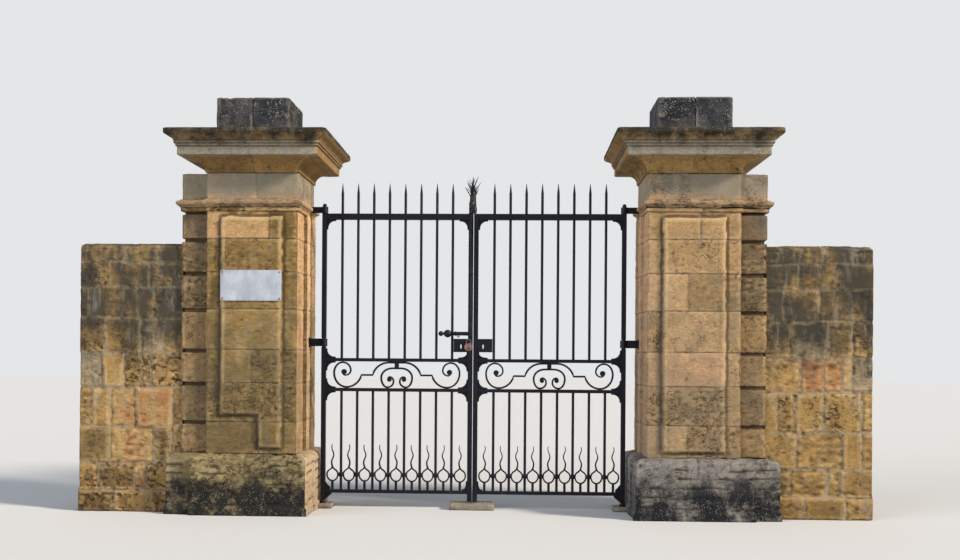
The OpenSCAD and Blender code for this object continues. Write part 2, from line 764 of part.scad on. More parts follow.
// Half of a drop ring: a round side that sweeps up to a point, like an onion
drop_r = (drop_w - drop_strap) / 2;
drop_rise = drop_r + drop_point;
function bezier(p, t) = pow(1 - t, 3) * p[0] + 3 * t * pow(1 - t, 2) * p[1]
    + 3 * t * t * (1 - t) * p[2] + pow(t, 3) * p[3];
drop_shoulder = 30;
shoulder = drop_r * [cos(drop_shoulder), sin(drop_shoulder)];
drop_half = concat(
    [for (i = [0:9]) let(a = -90 + i * (90 + drop_shoulder) / 9)
        [drop_r * cos(a), (drop_r + (a < 0 ? drop_hang : 0)) * sin(a)]],
    [for (i = [1:5]) bezier([shoulder, shoulder + 0.4 * drop_r * [-sin(drop_shoulder),
        cos(drop_shoulder)], [0, drop_rise - 0.4 * drop_r], [0, drop_rise]], i / 5)]);
flame_steps = 14;
function flame_path(s) = [for (i = [0:flame_steps]) let(t = i / flame_steps)
    [s * flame_swing * sin(500 * t) * (0.5 + 0.5 * sin(180 * t)),
        drop_rise - 4 + t * (flame_z - button_z - drop_rise + 4)]];

module dog_bar(x, s) {
    translate([x, 0, 0]) in_gate_plane(drop_d) translate([0, button_z]) {
        polygon(bar_outline(drop_half, drop_strap, drop_strap));
        mirror([1, 0]) polygon(bar_outline(drop_half, drop_strap, drop_strap));
        polygon(bar_outline(flame_path(s), drop_strap + 2, flame_tip));
        translate([-stem_w / 2, bottom_rail_top - button_z])
            square([stem_w, button_z - bottom_rail_top - drop_r - drop_hang]);
    }
}

module dog_bars() {
    color(iron_color) for (i = [0:bars]) dog_bar(bay_x(i), i % 3 == 1 ? -1 : 1);
}

// Corner plate: a hollow quarter round between two square steps
module corner_plate(x, z, sx, sz, w, h) {
    s = gusset_step;
    translate([x, 0, z]) in_plane_mirrored(sx, sz) polygon([[0, 0], [w, 0], [w, s], [w - s, s],
        for (i = [1:7]) let(a = i * 90 / 7)
            [w - s - (w - 2 * s) * sin(a), s + (h - 2 * s) * (1 - cos(a))],
        [s, h], [0, h]]);
}

module in_plane_mirrored(sx, sz) {
    in_gate_plane(gusset_t) scale_sign(sx, sz) children();
}

module scale_sign(sx, sz) {
    mirror([sx < 0 ? 1 : 0, 0]) mirror([0, sz < 0 ? 1 : 0]) children();
}

module corner_plates() {
    rail_low = frieze_rail_z - rail_h / 2;
    rail_top = frieze_top + rail_h;
    color(iron_color) {
        for (side = [0, 1]) {
            x = side == 0 ? meet_face : hinge_face;
            sx = side == 0 ? 1 : -1;
            corner_plate(x, rail_low, sx, -1, gusset_w, gusset_h);
            corner_plate(x, frieze_low, sx, 1, gusset_w, gusset_h);
            corner_plate(x, frieze_top, sx, -1, gusset_w, gusset_h);
            if (side == 1) corner_plate(x, rail_top, sx, 1, gusset_w, gusset_h);
            corner_plate(x, top_rail_low, sx, -1, gusset_h, gusset_w);
        }
        // The lock case stands close over the rail, so this plate is lower
        corner_plate(meet_face, rail_top, 1, 1, gusset_w, lock_z - rail_top);
        corner_plate(meet_face, bottom_rail_top, 1, 1, foot_plate_w, gusset_h);
        foot_plates();
    }
}

// Plates over and under the bottom rail that stiffen the leaf at its foot pivot
module foot_plates() {
    low = bottom_rail_z - rail_h / 2;
    under_w = foot_plate_w * 1.3;
    translate([hinge_face, 0, 0]) in_gate_plane(gusset_t) {
        polygon([[0, low], [-under_w, low], [-under_w, low - gusset_step], [0, hinge_foot]]);
        polygon([[0, bottom_rail_top], [-foot_plate_w, bottom_rail_top],
            [-foot_plate_w, bottom_rail_top + foot_plate_h * 0.28],
            [-foot_plate_w / 2, bottom_rail_top + foot_plate_h * 0.58],
            [0, bottom_rail_top + foot_plate_h]]);
    }
}

// Lock case between the meeting stile and the first bar, open right through at its keyhole
module lock_case(key_in) {
    x1 = bar_x(1) - bar_d / 2 - 2;
    key_x = meet_face + key_in;
    key_z = lock_z + key_over;
    color(iron_color) difference() {
        slab([meet_face, gate_y - lock_d / 2, lock_z], [x1, gate_y + lock_d / 2, lock_z + lock_h]);
        slab([key_x - keyhole_w / 2, gate_y - lock_d, key_z],
            [key_x + keyhole_w / 2, gate_y + lock_d, key_z + keyhole_h]);
    }
}

// A forged thistle: a stout shaft that splits into bent spikes
module thistle_finial() {
    spikes = 8;
    bend = 34;
    head_d = trunk_d - trunk_taper;
    in_x = head_d / 2 - 9;
    left_side() color(iron_color) translate([trunk_in, gate_y, leaf_top]) union() {
        slab([meet_gap / 2 - trunk_in, -meet_d / 2, 0],
            [meet_gap / 2 - trunk_in + meet_w, meet_d / 2, trunk_over + 3]);
        translate([0, 0, trunk_over]) cylinder(d1 = trunk_d, d2 = head_d, h = trunk_h - trunk_over);
        translate([0, 0, trunk_h]) cylinder(d1 = head_d, d2 = 3, h = spike_h, $fn = bar_sides);
        for (i = [0:spikes - 1]) rotate([0, 0, i * 360 / spikes]) {
            h = trunk_h - 40 + ring_h * (i % 3);
            translate([in_x + bend_r, 0, h]) rotate([90, 0, 180])
                rotate_extrude(angle = bend) translate([bend_r, 0]) circle(d = 9, $fn = 16);
            translate([in_x + bend_r * (1 - cos(bend)), 0, h + bend_r * sin(bend)])
                rotate([0, bend, 0]) translate([0, 0, -2])
                    cylinder(d1 = 10, d2 = 2, h = side_spike_l, $fn = 16);
        }
    }
}

// The bolt rod turns with its lever, which ends in two balls
module bolt_rod() {
    left_side() color(iron_color) translate([rod_x, gate_y - rod_y, 0]) union() {
        translate([0, 0, rod_foot]) cylinder(d = rod_d, h = rod_top - rod_foot);
        slab([0, -lever_t / 2, lever_z - lever_h / 2],
            [lever_l - ball_gap, lever_t / 2, lever_z + lever_h / 2]);
        translate([0, 0, lever_z]) rotate([0, 90, 0]) cylinder(d = lever_t, h = lever_l);
        translate([lever_l - ball_gap, 0, lever_z]) sphere(d = large_ball_d);
        translate([lever_l, 0, lever_z]) sphere(d = end_ball_d);
        translate([0, 0, rod_foot]) cylinder(d = rod_d + 12, h = 2 * (lever_z - rod_foot));
    }
}

// Guides on the meeting stile, bored for the rod
module rod_guides() {
    left_side() color(iron_color) for (z = guide_zs) difference() {
        union() {
            translate([rod_x, gate_y - rod_y, z]) cylinder(d = rod_d + 2 * guide_wall, h = guide_h);
            slab([rod_x - rod_d / 2, gate_y - rod_y, z],
                [rod_x + rod_d / 2, gate_y - meet_d / 2, z + guide_h]);
        }
        translate([rod_x, gate_y - rod_y, z - 1]) cylinder(d = rod_d + 2 * play, h = guide_h + 2);
    }
}

// Round padlock hung against the left meeting stile
module padlock() {
    r = shackle_w / 2;
    x = meet_gap / 2 + padlock_d / 2;
    y = gate_y - meet_d / 2;
    left_side() color(rust_color) translate([x, y, padlock_z]) union() {
        rotate([90, 0, 0]) cylinder(d = padlock_d, h = padlock_t);
        translate([0, -padlock_t / 2, padlock_d / 2 + shackle_h]) rotate([90, 0, 0])
            rotate_extrude(angle = 180) translate([r, 0]) circle(d = shackle_d, $fn = 16);
        for (s = [-1, 1]) translate([s * r, -padlock_t / 2, 0])
            cylinder(d = shackle_d, h = padlock_d / 2 + shackle_h, $fn = 16);
    }
}

module left_pier_plinth() { left_side() pier_plinth(); }
module left_pier_shaft() { left_side() pier_shaft(true); }
module left_pier_frieze() { left_side() pier_frieze(); }
module left_pier_cornice() { left_side() pier_cornice(); }
module left_pier_block() { left_side() pier_block(); }
module left_quoins() { left_side() quoins(); }
module left_wall() { left_side() boundary_wall(); }
module right_pier_plinth() { right_side() pier_plinth(); }
module right_pier_shaft() { right_side() pier_shaft(false); }
module right_pier_frieze() { right_side() pier_frieze(); }
module right_pier_cornice() { right_side() pier_cornice(); }
module right_pier_block() { right_side() pier_block(); }
module right_quoins() { right_side() quoins(); }
module right_wall() { right_side() boundary_wall(); }
module plain_plate() { left_side() plate_blank(); }

left_pier_plinth();
left_pier_shaft();
left_pier_frieze();
left_pier_cornice();
left_pier_block();
left_quoins();
left_wall();
right_pier_plinth();
right_pier_shaft();
right_pier_frieze();
right_pier_cornice();
right_pier_block();
right_quoins();
right_wall();
plain_plate();
left_side() hinge_straps();  // left_hinge_straps
right_side() hinge_straps();  // right_hinge_straps
left_side() pivot_stone();  // left_pivot_stone
right_side() pivot_stone();  // right_pivot_stone
left_side() pivot_cup();  // left_pivot_cup
right_side() pivot_cup();  // right_pivot_cup
sill_stone();
left_side() hinge_stile();  // left_hinge_stile
left_side() meeting_stile();  // left_meeting_stile
left_side() rails();  // left_rails
left_side() upper_bars();  // left_upper_bars
left_side() lower_bars();  // left_lower_bars
left_side() scrolls();  // left_scrolls
left_side() dog_bars();  // left_dog_bars
left_side() corner_plates();  // left_corner_plates
left_side() lock_case(left_key_in);  // left_lock_case
right_side() hinge_stile();  // right_hinge_stile
right_side() meeting_stile();  // right_meeting_stile
right_side() rails();  // right_rails
right_side() upper_bars();  // right_upper_bars
right_side() lower_bars();  // right_lower_bars
right_side() scrolls();  // right_scrolls
right_side() dog_bars();  // right_dog_bars
right_side() corner_plates();  // right_corner_plates
right_side() lock_case(right_key_in);  // right_lock_case
thistle_finial();
bolt_rod();
rod_guides();
padlock();
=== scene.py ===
"""A wrought iron driveway gate between two weathered sandstone piers."""

import bpy
import numpy as np
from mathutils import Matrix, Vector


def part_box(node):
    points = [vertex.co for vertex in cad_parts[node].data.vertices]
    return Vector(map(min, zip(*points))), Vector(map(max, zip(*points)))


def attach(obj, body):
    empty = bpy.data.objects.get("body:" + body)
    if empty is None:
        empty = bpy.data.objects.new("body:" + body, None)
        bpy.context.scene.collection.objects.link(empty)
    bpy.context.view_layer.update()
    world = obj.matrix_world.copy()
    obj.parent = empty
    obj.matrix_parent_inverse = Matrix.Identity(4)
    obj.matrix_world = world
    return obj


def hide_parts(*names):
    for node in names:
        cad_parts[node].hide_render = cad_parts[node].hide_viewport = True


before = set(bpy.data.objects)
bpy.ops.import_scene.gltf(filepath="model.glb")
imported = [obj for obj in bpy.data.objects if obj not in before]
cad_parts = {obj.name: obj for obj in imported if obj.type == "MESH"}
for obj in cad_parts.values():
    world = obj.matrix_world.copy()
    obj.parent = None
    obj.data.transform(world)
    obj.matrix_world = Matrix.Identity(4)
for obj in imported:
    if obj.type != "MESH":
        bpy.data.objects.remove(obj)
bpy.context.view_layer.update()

# The piers' plinths. Each is a block of sandstone with a footing step under it and a quarter
# round on top, built together with the plinth of the quoin strip beside it. Splashed rain has
# blackened the stone, split it along its bedding and eaten its arrises; the left is the warmer.

opening_mid = (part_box("left_pier_shaft")[1].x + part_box("right_pier_shaft")[0].x) / 2
reveal_x = 1.500
pier_out_x = 2.300
quoin_out_x = 2.530
strip_x = pier_out_x - 0.300
pier_y = 0.350
quoin_y = 0.305
groove_y = (-0.070, -0.030)
groove_depth = 0.030
shaft_foot = 0.520
plinth_out = 0.100
footing_out = 0.015
footing_top = 0.070
plinth_face_top = 0.464
plinth_jamb_out = 0.008


def hashed(cell, seed):
    """A number from -1 to 1 for each whole cell: its three indices times large primes, mixed by
    exclusive or and two more products."""
    mixed = cell[..., 0] * 73856093 ^ cell[..., 1] * 19349663 ^ cell[..., 2] * 83492791
    mixed = (mixed ^ seed * 6700417) * 1274126177
    mixed = (mixed ^ mixed >> 15) * 2246822519
    return (mixed >> 7 & 0xFFFF) / 32767.5 - 1


def noise(points, size, seed):
    """Smooth noise from -1 to 1: hashed numbers at the corners of cubes of the given size,
    blended across each cube by 3t^2 - 2t^3 along each axis."""
    place = points / size
    low = np.floor(place).astype(np.int64)
    t = place - low
    t = t * t * (3 - 2 * t)
    total = np.zeros(points.shape[:-1])
    for corner in np.ndindex(2, 2, 2):
        weight = np.prod(np.where(np.array(corner) == 1, t, 1 - t), axis=-1)
        total += weight * hashed(low + np.array(corner), seed)
    return total


def steps_through(stops, step):
    """Rising values that hit every stop and lie at most one step apart."""
    stops = np.unique(np.round(stops, 5))
    runs = [np.linspace(a, b, max(1, int(np.ceil((b - a) / step))), endpoint=False)
            for a, b in zip(stops[:-1], stops[1:])]
    return np.append(np.concatenate(runs), stops[-1])


def outline(corners, step, reach=0.0, stops=()):
    """Samples a closed outline, given anticlockwise: the edge of each column, its share of the
    way along that edge, and each corner's place, mitre, next edge's normal and whether it sticks
    out. The mitre (n1 + n2) / (1 + n1.n2) moves both edges out by one amount. Columns lie a step
    apart at the given reach. Stops are extra places (edge, distance along it)."""
    corners = np.array(corners, float)
    ahead = np.roll(corners, -1, axis=0) - corners
    length = np.linalg.norm(ahead, axis=1)
    ahead = ahead / length[:, None]
    normal = np.stack([ahead[:, 1], -ahead[:, 0]], axis=1)
    before = np.roll(normal, 1, axis=0)
    mitre = (normal + before) / (1 + np.sum(normal * before, axis=1))[:, None]
    behind = np.roll(ahead, 1, axis=0)
    convex = behind[:, 0] * ahead[:, 1] - behind[:, 1] * ahead[:, 0] > 0.01
    edges, shares = [], []
    for i, long in enumerate(length):
        extra = [s for edge, s in stops if edge == i]
        inner = [s for s in (0.004, 0.010) if s < long / 3]
        run = steps_through([0, long, *inner, *(long - s for s in inner), *extra],
                            step / (1 + 2 * reach / long))[:-1]
        edges.append(np.full(len(run), i))
        shares.append(run / long)
    return np.concatenate(edges), np.concatenate(shares), corners, mitre, normal, convex


def carried(path, profile):
    """Places and ways out of a moulding carried round an outline, and the distance of each place
    from the nearest corner that sticks out. Each row of the profile is a reach and a height, its
    corners are moved out along their mitres, and its way out leans as the profile does there."""
    edges, shares, corners, mitre, normal, convex = path
    reach, height = np.array(profile, float).T
    rise, run = np.gradient(height), np.gradient(reach)
    long = np.hypot(rise, run)
    moved = corners + mitre * reach[:, None, None]
    nxt = (edges + 1) % len(corners)
    start, end = moved[:, edges], moved[:, nxt]
    flat = np.empty((len(reach), len(edges), 3))
    flat[..., :2] = start + (end - start) * shares[:, None]
    flat[..., 2] = height[:, None]
    out = np.empty_like(flat)
    ways = np.where(shares[:, None] == 0, mitre[edges], normal[edges])
    out[..., :2] = ways * (rise / long)[:, None, None]
    out[..., 2] = (-run / long)[:, None]
    span = np.linalg.norm(end - start, axis=-1)
    arris = np.minimum(np.where(convex[edges], shares * span, 1.0),
                       np.where(convex[nxt], (1 - shares) * span, 1.0))
    return flat, out, arris


per_edge, per_course = 256, 16
far = 9.0
one_course = (-far, far)


def bonded(along, height, beds, uprights):
    """The number of the stone that each point lies in, and its distance from the nearest joint.
    Beds are the heights of the level joints, and uprights lists the upright ones of each
    course between two beds."""
    beds = np.array(beds)
    course = np.clip(np.searchsorted(beds, height) - 1, 0, len(beds) - 2)
    number = np.zeros(along.shape, int)
    gap = np.minimum(height - beds[course], beds[course + 1] - height)
    for i, places in enumerate(uprights):
        slot = np.searchsorted(places, along)
        ends = np.concatenate([[-far], places, [far]])
        side = np.minimum(along - ends[slot], ends[slot + 1] - along)
        number = np.where(course == i, i * per_course + slot, number)
        gap = np.where(course == i, np.minimum(gap, side), gap)
    return number, np.maximum(gap, 0)


def coursed(plan, step, profile, beds, uprights, reach=0.0, stops=()):
    """Carries a profile round a plan and bonds its stones edge by edge: uprights maps an edge to
    its courses' joints, and a stone's number counts by edge, course and place. Gives each
    column's edge, and the grids that the ageing needs."""
    path = outline(plan, step, reach, stops)
    flat, out, arris = carried(path, profile)
    number = np.zeros(flat.shape[:2], int)
    gap = np.zeros(flat.shape[:2])
    for edge in np.unique(path[0]):
        cols = path[0] == edge
        axis = 0 if abs(path[4][edge, 1]) > 0.5 else 1
        number[:, cols], gap[:, cols] = bonded(flat[:, cols, axis], flat[:, cols, 2], beds,
                                               uprights.get(edge, [[]] * (len(beds) - 1)))
        number[:, cols] += per_edge * edge
    return path[0], flat, out, number, gap, arris


def spread(values, reach):
    """Mean of a grid's values over a square of neighbours; its columns close on themselves."""
    wide = range(-reach, reach + 1)
    across = sum(np.roll(values, s, axis=1) for s in wide) / len(wide)
    padded = np.pad(across, ((reach, reach), (0, 0)), mode="edge")
    return sum(padded[s:s + len(values)] for s in range(len(wide))) / len(wide)


def aged(flat, out, number, gap, arris, look, seed, lift=0.0, chosen=()):
    """Ages a grid of stone. Each point moves along its way out by the lift, by its stone's own
    offset and by three sizes of noise, and in again at joints, at arrises and at pits, which
    are noise above a threshold, flattened along the bed. Also gives each point's tint and
    softness, how far it lies in a joint, and its dirt-and-shade value: how far it lies below
    the mean of its neighbours, but for arrises, where chips are clean. The material paints
    points below their neighbours darker, as dirt and painted shade, and points above them
    lighter, as wear and a painted highlight. Chosen stones have a given tint and softness;
    the others draw theirs."""
    draw = np.random.default_rng(seed).random((3, number.max() + 1))
    draw[0] *= 0.78
    for stone, tint, softness in chosen:
        draw[0, stone], draw[2, stone] = tint, softness
    rough = 0.5 * noise(flat, 0.19, seed) + 0.45 * noise(flat * [1, 1, 1.5], 0.07, seed + 1)
    rough += 0.35 * noise(flat * [1, 1, 1.8], 0.032, seed + 2)
    worn = 0.5 + 0.5 * noise(flat, 0.09, seed + 3)
    pit = np.clip(noise(flat * [1, 1, 1.9], 0.030, seed + 4) * 1.8 - 0.45, 0, 1)
    pit *= look["pit"] * (0.15 + draw[2][number] ** 2)
    groove = np.clip(1.25 - gap / look["joint"], 0, 1)
    inward = look["deep"] * groove ** 1.5 + look["chip"] * worn ** 2 * np.exp(-gap / 0.012)
    edge = np.clip(1 - arris / 0.022, 0, 1) ** 1.6
    inward = inward + pit + edge * (0.003 + look["chip"] * 2.4 * worn ** 2)
    shift = (draw[1][number] - 0.6) * 2 * look["offset"]
    push = np.minimum(shift + rough * look["rough"] - inward, look["limit"]) + lift
    hollow = np.clip((spread(push, 3) - push) / 0.005, -1, 1)
    hollow = hollow - np.minimum(1.4 * edge, 1) * np.maximum(hollow, 0)
    return flat + out * push[..., None], {"tint": draw[0][number], "soft": draw[2][number],
                                          "joint": groove, "hollow": hollow,
                                          "soot": np.ones_like(hollow)}


def ring_faces(rows, ring, start=0, looped=False):
    """Faces of a stack of rings: each ring joins its ends, and each row joins the next. The last
    row joins the first if looped, and else a flat face closes each end row."""
    index = start + np.arange(rows * ring).reshape(rows, ring)
    above = np.roll(index, -1, axis=0)
    quads = np.stack([index, np.roll(index, -1, axis=1), np.roll(above, -1, axis=1), above],
                     axis=-1)
    if looped:
        return quads.reshape(-1, 4).tolist()
    return quads[:-1].reshape(-1, 4).tolist() + [index[0, ::-1].tolist(), index[-1].tolist()]


def placed_mesh(name, body, points, faces, surface, replaced, layers):
    """Puts a mesh on its body, with its layers kept as attributes for the material."""
    mesh = bpy.data.meshes.new(name)
    mesh.from_pydata(points.reshape(-1, 3).tolist(), [], faces)
    for key, values in layers.items():
        layer = mesh.attributes.new(key, "FLOAT", "POINT")
        layer.data.foreach_set("value", np.ascontiguousarray(values, np.float32).ravel())
    mesh.materials.append(surface)
    piece = bpy.data.objects.new(name, mesh)
    bpy.context.scene.collection.objects.link(piece)
    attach(piece, body)
    if replaced:
        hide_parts(replaced)
    return mesh


def stone_mesh(name, points, layers, mirrored, surface, replaced=None):
    """Makes a closed mesh of a stack of rings, rows x ring x 3, on the piers. A mirrored piece
    is the same about the opening's middle."""
    faces = ring_faces(*points.shape[:2])
    if mirrored:
        faces = [face[::-1] for face in faces]
    placed = points * [-1 if mirrored else 1, 1, 1] + [opening_mid, 0, 0]
    mesh = placed_mesh(name, "piers", placed, faces, surface, replaced, layers)
    mesh.polygons.foreach_set("use_smooth", [True] * (len(faces) - 2) + [False] * 2)


def linear(code):
    """Linear light of an sRGB hex colour: c / 12.92 when dark, else ((c + 0.055) / 1.055)^2.4."""
    parts = np.array([int(code[i:i + 2], 16) for i in (1, 3, 5)]) / 255
    light = np.where(parts <= 0.04045, parts / 12.92, ((parts + 0.055) / 1.055) ** 2.4)
    return (*light.tolist(), 1.0)


def add(tree, kind, *values, named=None, out=None, **settings):
    """Adds one shader node, sets its properties, sets or links its sockets in their order or by
    name, with hex codes for colours, and gives an output: the first in use, if none is named."""
    node = tree.nodes.new("ShaderNode" + kind)
    for key, value in settings.items():
        setattr(node, key, value)
    sockets = [socket for socket in node.inputs if socket.enabled]
    for key, value in [*enumerate(values), *(named or {}).items()]:
        socket = sockets[key] if isinstance(key, int) else node.inputs[key]
        if isinstance(value, bpy.types.NodeSocket):
            tree.links.new(value, socket)
        else:
            socket.default_value = linear(value) if isinstance(value, str) else value
    return node.outputs[out] if out else [socket for socket in node.outputs if socket.enabled][0]


mix = {"data_type": "RGBA"}
times = {"operation": "MULTIPLY"}


def new_surface(name, roughness, specular=0.3):
    """A material with one Principled shader; returns it with its tree, its shader, and the
    function that adds a node to it."""
    made = bpy.data.materials.new(name)
    made.use_nodes = True
    shader = made.node_tree.nodes["Principled BSDF"]
    shader.inputs["Roughness"].default_value = roughness
    shader.inputs["Specular IOR Level"].default_value = specular

    def node(kind, *values, **settings):
        return add(made.node_tree, kind, *values, **settings)

    return made, made.node_tree, shader, node


def sandstone(name, tints, crust, crust_from, crust_to, crust_most, pit_depth,
              mortar="#857A68", runs=0.25, wear_and_highlight="#DDBE8E", specks=0.0, washed=0.42):
    """Dressed sandstone after two centuries outdoors. Each stone has its own tint; the bedding
    shows as level streaks; soft grains have fallen out and left pits from 4 to 20 mm wide that
    run along the bed, more of them in soft stones, and these pits are painted dark as painted
    shade; points that lie below their neighbours, and other places a piece marks, are painted
    darker as dirt and painted shade, and points above their neighbours lighter as wear and a
    painted highlight; a dark crust or lichen lies in patches and in upright runs of rain, and
    thickens from one height to another; pale runs of lime lie beside them; lichen has greyed
    the face where a piece says so, and on old black stone it also stands in pale specks 6 to 15
    mm wide; lime mortar fills the joints where a noise is over the washed value, and is gone
    elsewhere. A texture's scale is one over its features' width in metres: 200 mm patches are
    5, 42 mm beds 24 and 17 mm grain 60."""
    made, tree, shader, node = new_surface(name, 0.93, 0.2)
    place = node("TexCoord", out="Object")
    level = node("Mapping", place, named={"Scale": (1, 1, 2.0)})
    upright = node("Mapping", place, named={"Scale": (1, 1, 0.22)})
    tint, soft, joint, hollow, soot, grey = (
        node("Attribute", attribute_name=key, out="Fac")
        for key in ("tint", "soft", "joint", "hollow", "soot", "grey"))
    pick = node("Math", node("TexNoise", place, 4.2, 7, 0.66), 1.15, **times)
    pick = node("Math", pick, node("Math", tint, 0.85, **times))
    ramp = node("ValToRGB", node("Math", pick, 0.42, operation="SUBTRACT"))
    bands = ramp.node.color_ramp.elements
    while len(bands) < len(tints):
        bands.new(0.5)
    for i, code in enumerate(tints):
        bands[i].position = 0.08 + 0.84 * i / (len(tints) - 1)
        bands[i].color = linear(code)
    bedding = node("TexNoise", level, 24, 8, 0.72)
    grain = node("TexNoise", level, 60, 8, 0.78)
    shade = node("Math", node("MapRange", bedding, 0.33, 0.67, 0.74, 1.18),
                 node("MapRange", grain, 0.34, 0.66, 0.68, 1.28), **times)
    colour = node("Mix", 1.0, ramp, shade, **mix, blend_type="MULTIPLY")
    drift = node("Math", node("TexNoise", place, 9, 5, 0.6),
                 node("MapRange", soft, 0.2, 1.0, -0.08, 0.16))
    holes = []
    for scale, low, high in ((34, 0.50, 0.74), (84, 0.42, 0.68)):
        cell = node("TexVoronoi", level, scale)
        size = node("MapRange", drift, low, high, 0.0, 0.46)
        holes.append(node("MapRange", node("Math", size, cell, operation="SUBTRACT"), 0.0, 0.10))
    pits = node("Math", *holes, operation="MAXIMUM")
    # The pits are painted dark brown: painted shade in the pits.
    colour = node("Mix", node("Math", pits, 0.85, **times), colour, "#33261A", **mix)
    # Points below their neighbours, and places a piece marks, are painted dark brown: dirt and
    # painted shade.
    colour = node("Mix", node("MapRange", hollow, 0.05, 0.9, 0.0, 0.8), colour, "#3F3022", **mix)
    # Points above their neighbours are painted a pale colour: rubbed wear and a painted highlight.
    colour = node("Mix", node("MapRange", hollow, -0.1, -0.9, 0.0, 0.35), colour, wear_and_highlight, **mix)
    patch = node("MapRange", node("TexNoise", place, 11, 5, 0.6), 0.36, 0.5, 0.55, 0.9)
    colour = node("Mix", node("Math", grey, patch, **times), colour,
                  node("Mix", 1.0, "#8C897D", shade, **mix, blend_type="MULTIPLY"), **mix)
    height = node("SeparateXYZ", place, out="Z")
    patchy = node("Mix", runs, node("TexNoise", place, 5.0, 9, 0.72),
                  node("TexNoise", upright, 6.5, 9, 0.66), **mix)
    laid = node("Math", patchy, node("MapRange", height, crust_from, crust_to, -0.25, 0.12))
    laid = node("Math", node("MapRange", laid, 0.46, 0.63, 0.0, crust_most), soot, **times)
    colour = node("Mix", laid, colour, crust, **mix)
    lime = node("MapRange", node("TexNoise", upright, 11, 7, 0.68), 0.54, 0.72, 0.0, 1.1 * runs)
    colour = node("Mix", node("Math", lime, soot, **times), colour, "#8E8A80", **mix)
    if specks:
        cell = node("TexVoronoi", place, 64)
        size = node("MapRange", node("TexNoise", place, 13, 7, 0.75), 0.34, 0.64, 0.0, 0.5)
        speck = node("MapRange", node("Math", size, cell, operation="SUBTRACT"), -0.04, 0.22, 0.0,
                     specks)
        colour = node("Mix", node("Math", speck, soot, **times), colour, "#928E84", **mix)
    filled = node("MapRange", node("TexNoise", place, 24, 5, 0.6), washed, washed + 0.18)
    filled = node("Math", filled, node("MapRange", joint, 0.2, 1.0), **times)
    filled = node("Math", filled, node("MapRange", laid, 0.2, 0.9, 1.0, 0.35), **times)
    colour = node("Mix", filled, colour, mortar, **mix)
    tree.links.new(colour, shader.inputs["Base Color"])
    bump = node("Bump", named={"Height": bedding, "Strength": 1.0, "Distance": 0.009})
    bump = node("Bump", named={"Height": pits, "Strength": 1.0, "Distance": pit_depth,
                               "Normal": bump}, invert=True)
    bump = node("Bump", named={"Height": grain, "Strength": 1.0, "Distance": 0.005,
                               "Normal": bump})
    tree.links.new(bump, shader.inputs["Normal"])
    return made


def rectangle(x0, x1, y0, y1):
    """Its corners, anticlockwise."""
    return [(x0, y0), (x1, y0), (x1, y1), (x0, y1)]


def grooved_plan(jamb_x):
    """A pier's plan, anticlockwise from the front of its reveal: edge 3 is the jamb behind the
    groove, edges 4 to 6 are the groove, and edge 7 is the reveal in front of it."""
    groove_x = reveal_x + groove_depth
    return [(reveal_x, -pier_y), (pier_out_x, -pier_y), (pier_out_x, pier_y), (jamb_x, pier_y),
            (jamb_x, groove_y[1]), (groove_x, groove_y[1]), (groove_x, groove_y[0]),
            (reveal_x, groove_y[0])]


# Each pier is worked out on the right of the opening's middle, and mirrored for the left.
sides = (("left", True), ("right", False))
turn = np.linspace(0, np.pi / 2, 9)[1:]
footing = plinth_out + footing_out
plinth_profile = [(footing, z) for z in steps_through([0.0, footing_top - 0.010], 0.013)]
plinth_profile += [(footing - 0.004, footing_top - 0.003), (plinth_out + 0.004, footing_top)]
plinth_profile += [(plinth_out, z) for z in steps_through([footing_top + 0.006,
                                                           plinth_face_top], 0.0125)]
plinth_profile += zip(plinth_out * np.cos(turn),
                      plinth_face_top + (shaft_foot - plinth_face_top) * np.sin(turn))
plinth_profile += [(-0.02, shaft_foot + 0.0005)]
plinth_look = dict(offset=0.001, joint=0.007, deep=0.005, chip=0.007, rough=0.009, pit=0.006,
                   limit=0.001)
splits = (0.105, 0.190, 0.272, 0.355, 0.428)
wet_top = 0.260
base_stone = sandstone(
    "weathered base sandstone", ["#525052", "#6A6766", "#827E79", "#99948B"], crust="#1A1C20",
    crust_from=0.64, crust_to=0.24, crust_most=0.92, pit_depth=0.014, mortar="#4A4743", runs=0.15,
    wear_and_highlight="#B5A98F", specks=0.45)
warm_base_stone = sandstone(
    "warm base sandstone", ["#6A5F47", "#82744F", "#978760", "#A89379"], crust="#21201E",
    crust_from=0.60, crust_to=0.21, crust_most=0.95, pit_depth=0.014, mortar="#5A5242", runs=0.15,
    wear_and_highlight="#C9B98F", specks=0.5)
for side, mirrored in sides:
    seed = 11 if mirrored else 23
    # On the left plinth block the reveal, groove and jamb stones take the palest tint.
    pale_reveal = [(per_edge * edge, 1.1, 0.4) for edge in range(3, 8)] if mirrored else []
    for part, corners in (("block", grooved_plan(reveal_x - plinth_jamb_out)),
                          ("strip", rectangle(strip_x, quoin_out_x, -quoin_y, quoin_y))):
        edges, *grid = coursed(corners, 0.013, plinth_profile, one_course,
                               {0: [[1.93]], 2: [[1.85]]} if part == "block" else {}, footing)
        flat = grid[0]
        sway = 0.014 * noise(flat * [1, 1, 0.2], 0.16, seed + 5)
        broken = np.clip(noise(flat, 0.12, seed + 6) * 3 + 0.6, 0, 1)
        lift = sum(-0.011 * broken * np.exp(-((flat[..., 2] + sway - z) / 0.008) ** 2)
                   for z in splits)
        points, layers = aged(*grid, plinth_look, seed, lift,
                              pale_reveal if part == "block" else ())
        if part == "block":
            layers["soot"] *= np.where(edges >= 3, 0.15 if mirrored else 0.5, 1.0)
        layers["soot"] = layers["soot"] * (1 + 0.4 * np.clip(1 - points[..., 2] / wet_top, 0, 1))
        stone_mesh(f"{side}_plinth_{part}", points, layers, mirrored,
                   warm_base_stone if mirrored else base_stone,
                   f"{side}_pier_plinth")
